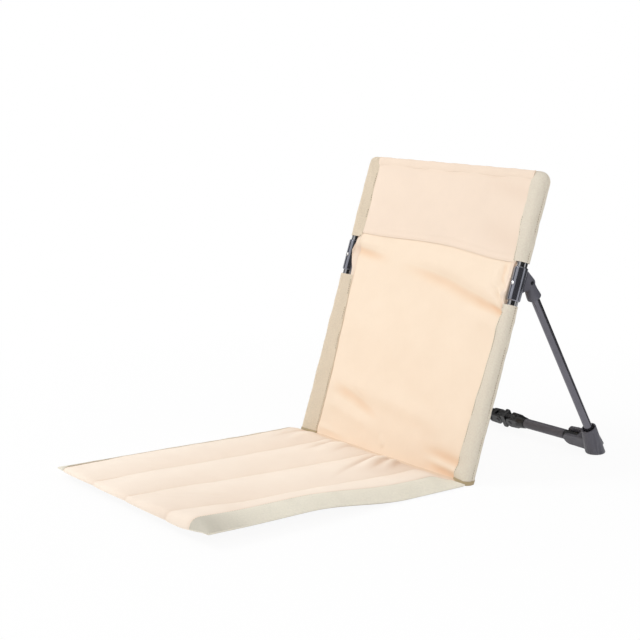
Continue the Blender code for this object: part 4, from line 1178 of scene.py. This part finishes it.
corners = np.array([(-1, -1), (1, -1), (1, 1), (-1, 1)]) * stageSet["floorSize"] / 2
floorFinish = bpy.data.materials.new("paleFloor")
floorTree = emptyTree(floorFinish)
matt = addNode(floorTree, "ShaderNodeBsdfDiffuse", {"Color": (*[stageSet["floorTone"]] * 3, 1)})
white = addNode(floorTree, "ShaderNodeEmission", {"Color": (1, 1, 1, 1), "Strength": 1.0})
place = addNode(floorTree, "ShaderNodeTexCoord").outputs["Object"]
away = addNode(floorTree, "ShaderNodeVectorMath", {0: place}, operation="LENGTH").outputs["Value"]
clear = rangeNode(floorTree, away, stageSet["clearFrom"], stageSet["clearTo"], stageSet["clear"], 1.0)
share = mathNode(floorTree, "MULTIPLY", seenDirectly(floorTree), clear)
mixOut(floorTree, "ShaderNodeOutputMaterial", share, matt, white)
floorMesh = meshFrom("floor", joined(*corners.T, stageSet["floorZ"]), [(0, 1, 2, 3)])
floor = addObject("floor", floorMesh, floorFinish)

scene.world = bpy.data.worlds.new("studio")
worldTree = emptyTree(scene.world)
soft, white = (addNode(worldTree, "ShaderNodeBackground", {"Color": (1, 1, 1, 1), "Strength": level})
               for level in (stageSet["fill"], 1.0))
mixOut(worldTree, "ShaderNodeOutputWorld", seenDirectly(worldTree), soft, white)

darkCards = {  # only tubes and mouldings mirror them
    "radius": 3.4, "height": 7.5, "step": 16, "arcs": ((-83, 4), (28, 165), (195, 222)),
    "ground": ((0.3, 0.6, 2.2, 1.17), (0.3, 1.42, 3.0, 3.0)), "groundZ": 0.002,
}
cardPoints, cardFaces = [], []
for first, last in darkCards["arcs"]:
    start = len(cardPoints)
    for turn in np.radians(np.linspace(first, last, darkCards["step"])):
        spotX, spotY = darkCards["radius"] * math.cos(turn), darkCards["radius"] * math.sin(turn)
        cardPoints += [(spotX, spotY, 0.0), (spotX, spotY, darkCards["height"])]
    cardFaces += [(k, k + 2, k + 3, k + 1) for k in range(start, len(cardPoints) - 2, 2)]
for left, near, right, far in darkCards["ground"]:
    cardFaces.append([len(cardPoints) + k for k in range(4)])
    ring = ((left, near), (right, near), (right, far), (left, far))
    cardPoints += [(*corner, darkCards["groundZ"]) for corner in ring]
cardFinish, _, cardShader = startFinish("darkCard", (0.02, 0.02, 0.02), 1.0)
cardShader.inputs["Specular IOR Level"].default_value = 0.0
cards = addObject("darkCards", meshFrom("darkCards", np.array(cardPoints), cardFaces), cardFinish)
for way in ("camera", "diffuse", "transmission", "volume_scatter", "shadow"):
    setattr(cards, f"visible_{way}", False)


def aimed(made, place, way):
    made.location = place
    made.rotation_euler = Vector(way).to_track_quat("-Z", "Y").to_euler()
    return made


lamps = {
    "key": {"place": (-1.6, -1.9, 2.5), "aim": (0, -0.05, 0.15), "size": 1.6, "power": 56.0},
    "side": {"place": (2.4, -0.6, 1.5), "aim": (0.1, 0.0, 0.2), "size": 1.6, "power": 9.5},
    "rim": {"place": (1.9, 1.5, 1.9), "aim": (0, 0.1, 0.2), "size": 1.2, "power": 7.0},
}
for label, lamp in lamps.items():
    light = bpy.data.lights.new(label, "AREA")
    light.size, light.energy = lamp["size"], lamp["power"]
    made = aimed(addObject(label, light), lamp["place"], Vector(lamp["aim"]) - Vector(lamp["place"]))
    made.visible_glossy = label != "side"

view = {"place": (1.904, -1.5, 0.6995), "way": (-0.7812, 0.5975, -0.18086), "lens": 81.56, "sensor": 36.0}
lens = bpy.data.cameras.new("camera")
lens.lens, lens.sensor_width = view["lens"], view["sensor"]
scene.camera = aimed(addObject("camera", lens), view["place"], view["way"])
scene.view_settings.view_transform = "Standard"
print("stage set")

bpy.context.view_layer.update()
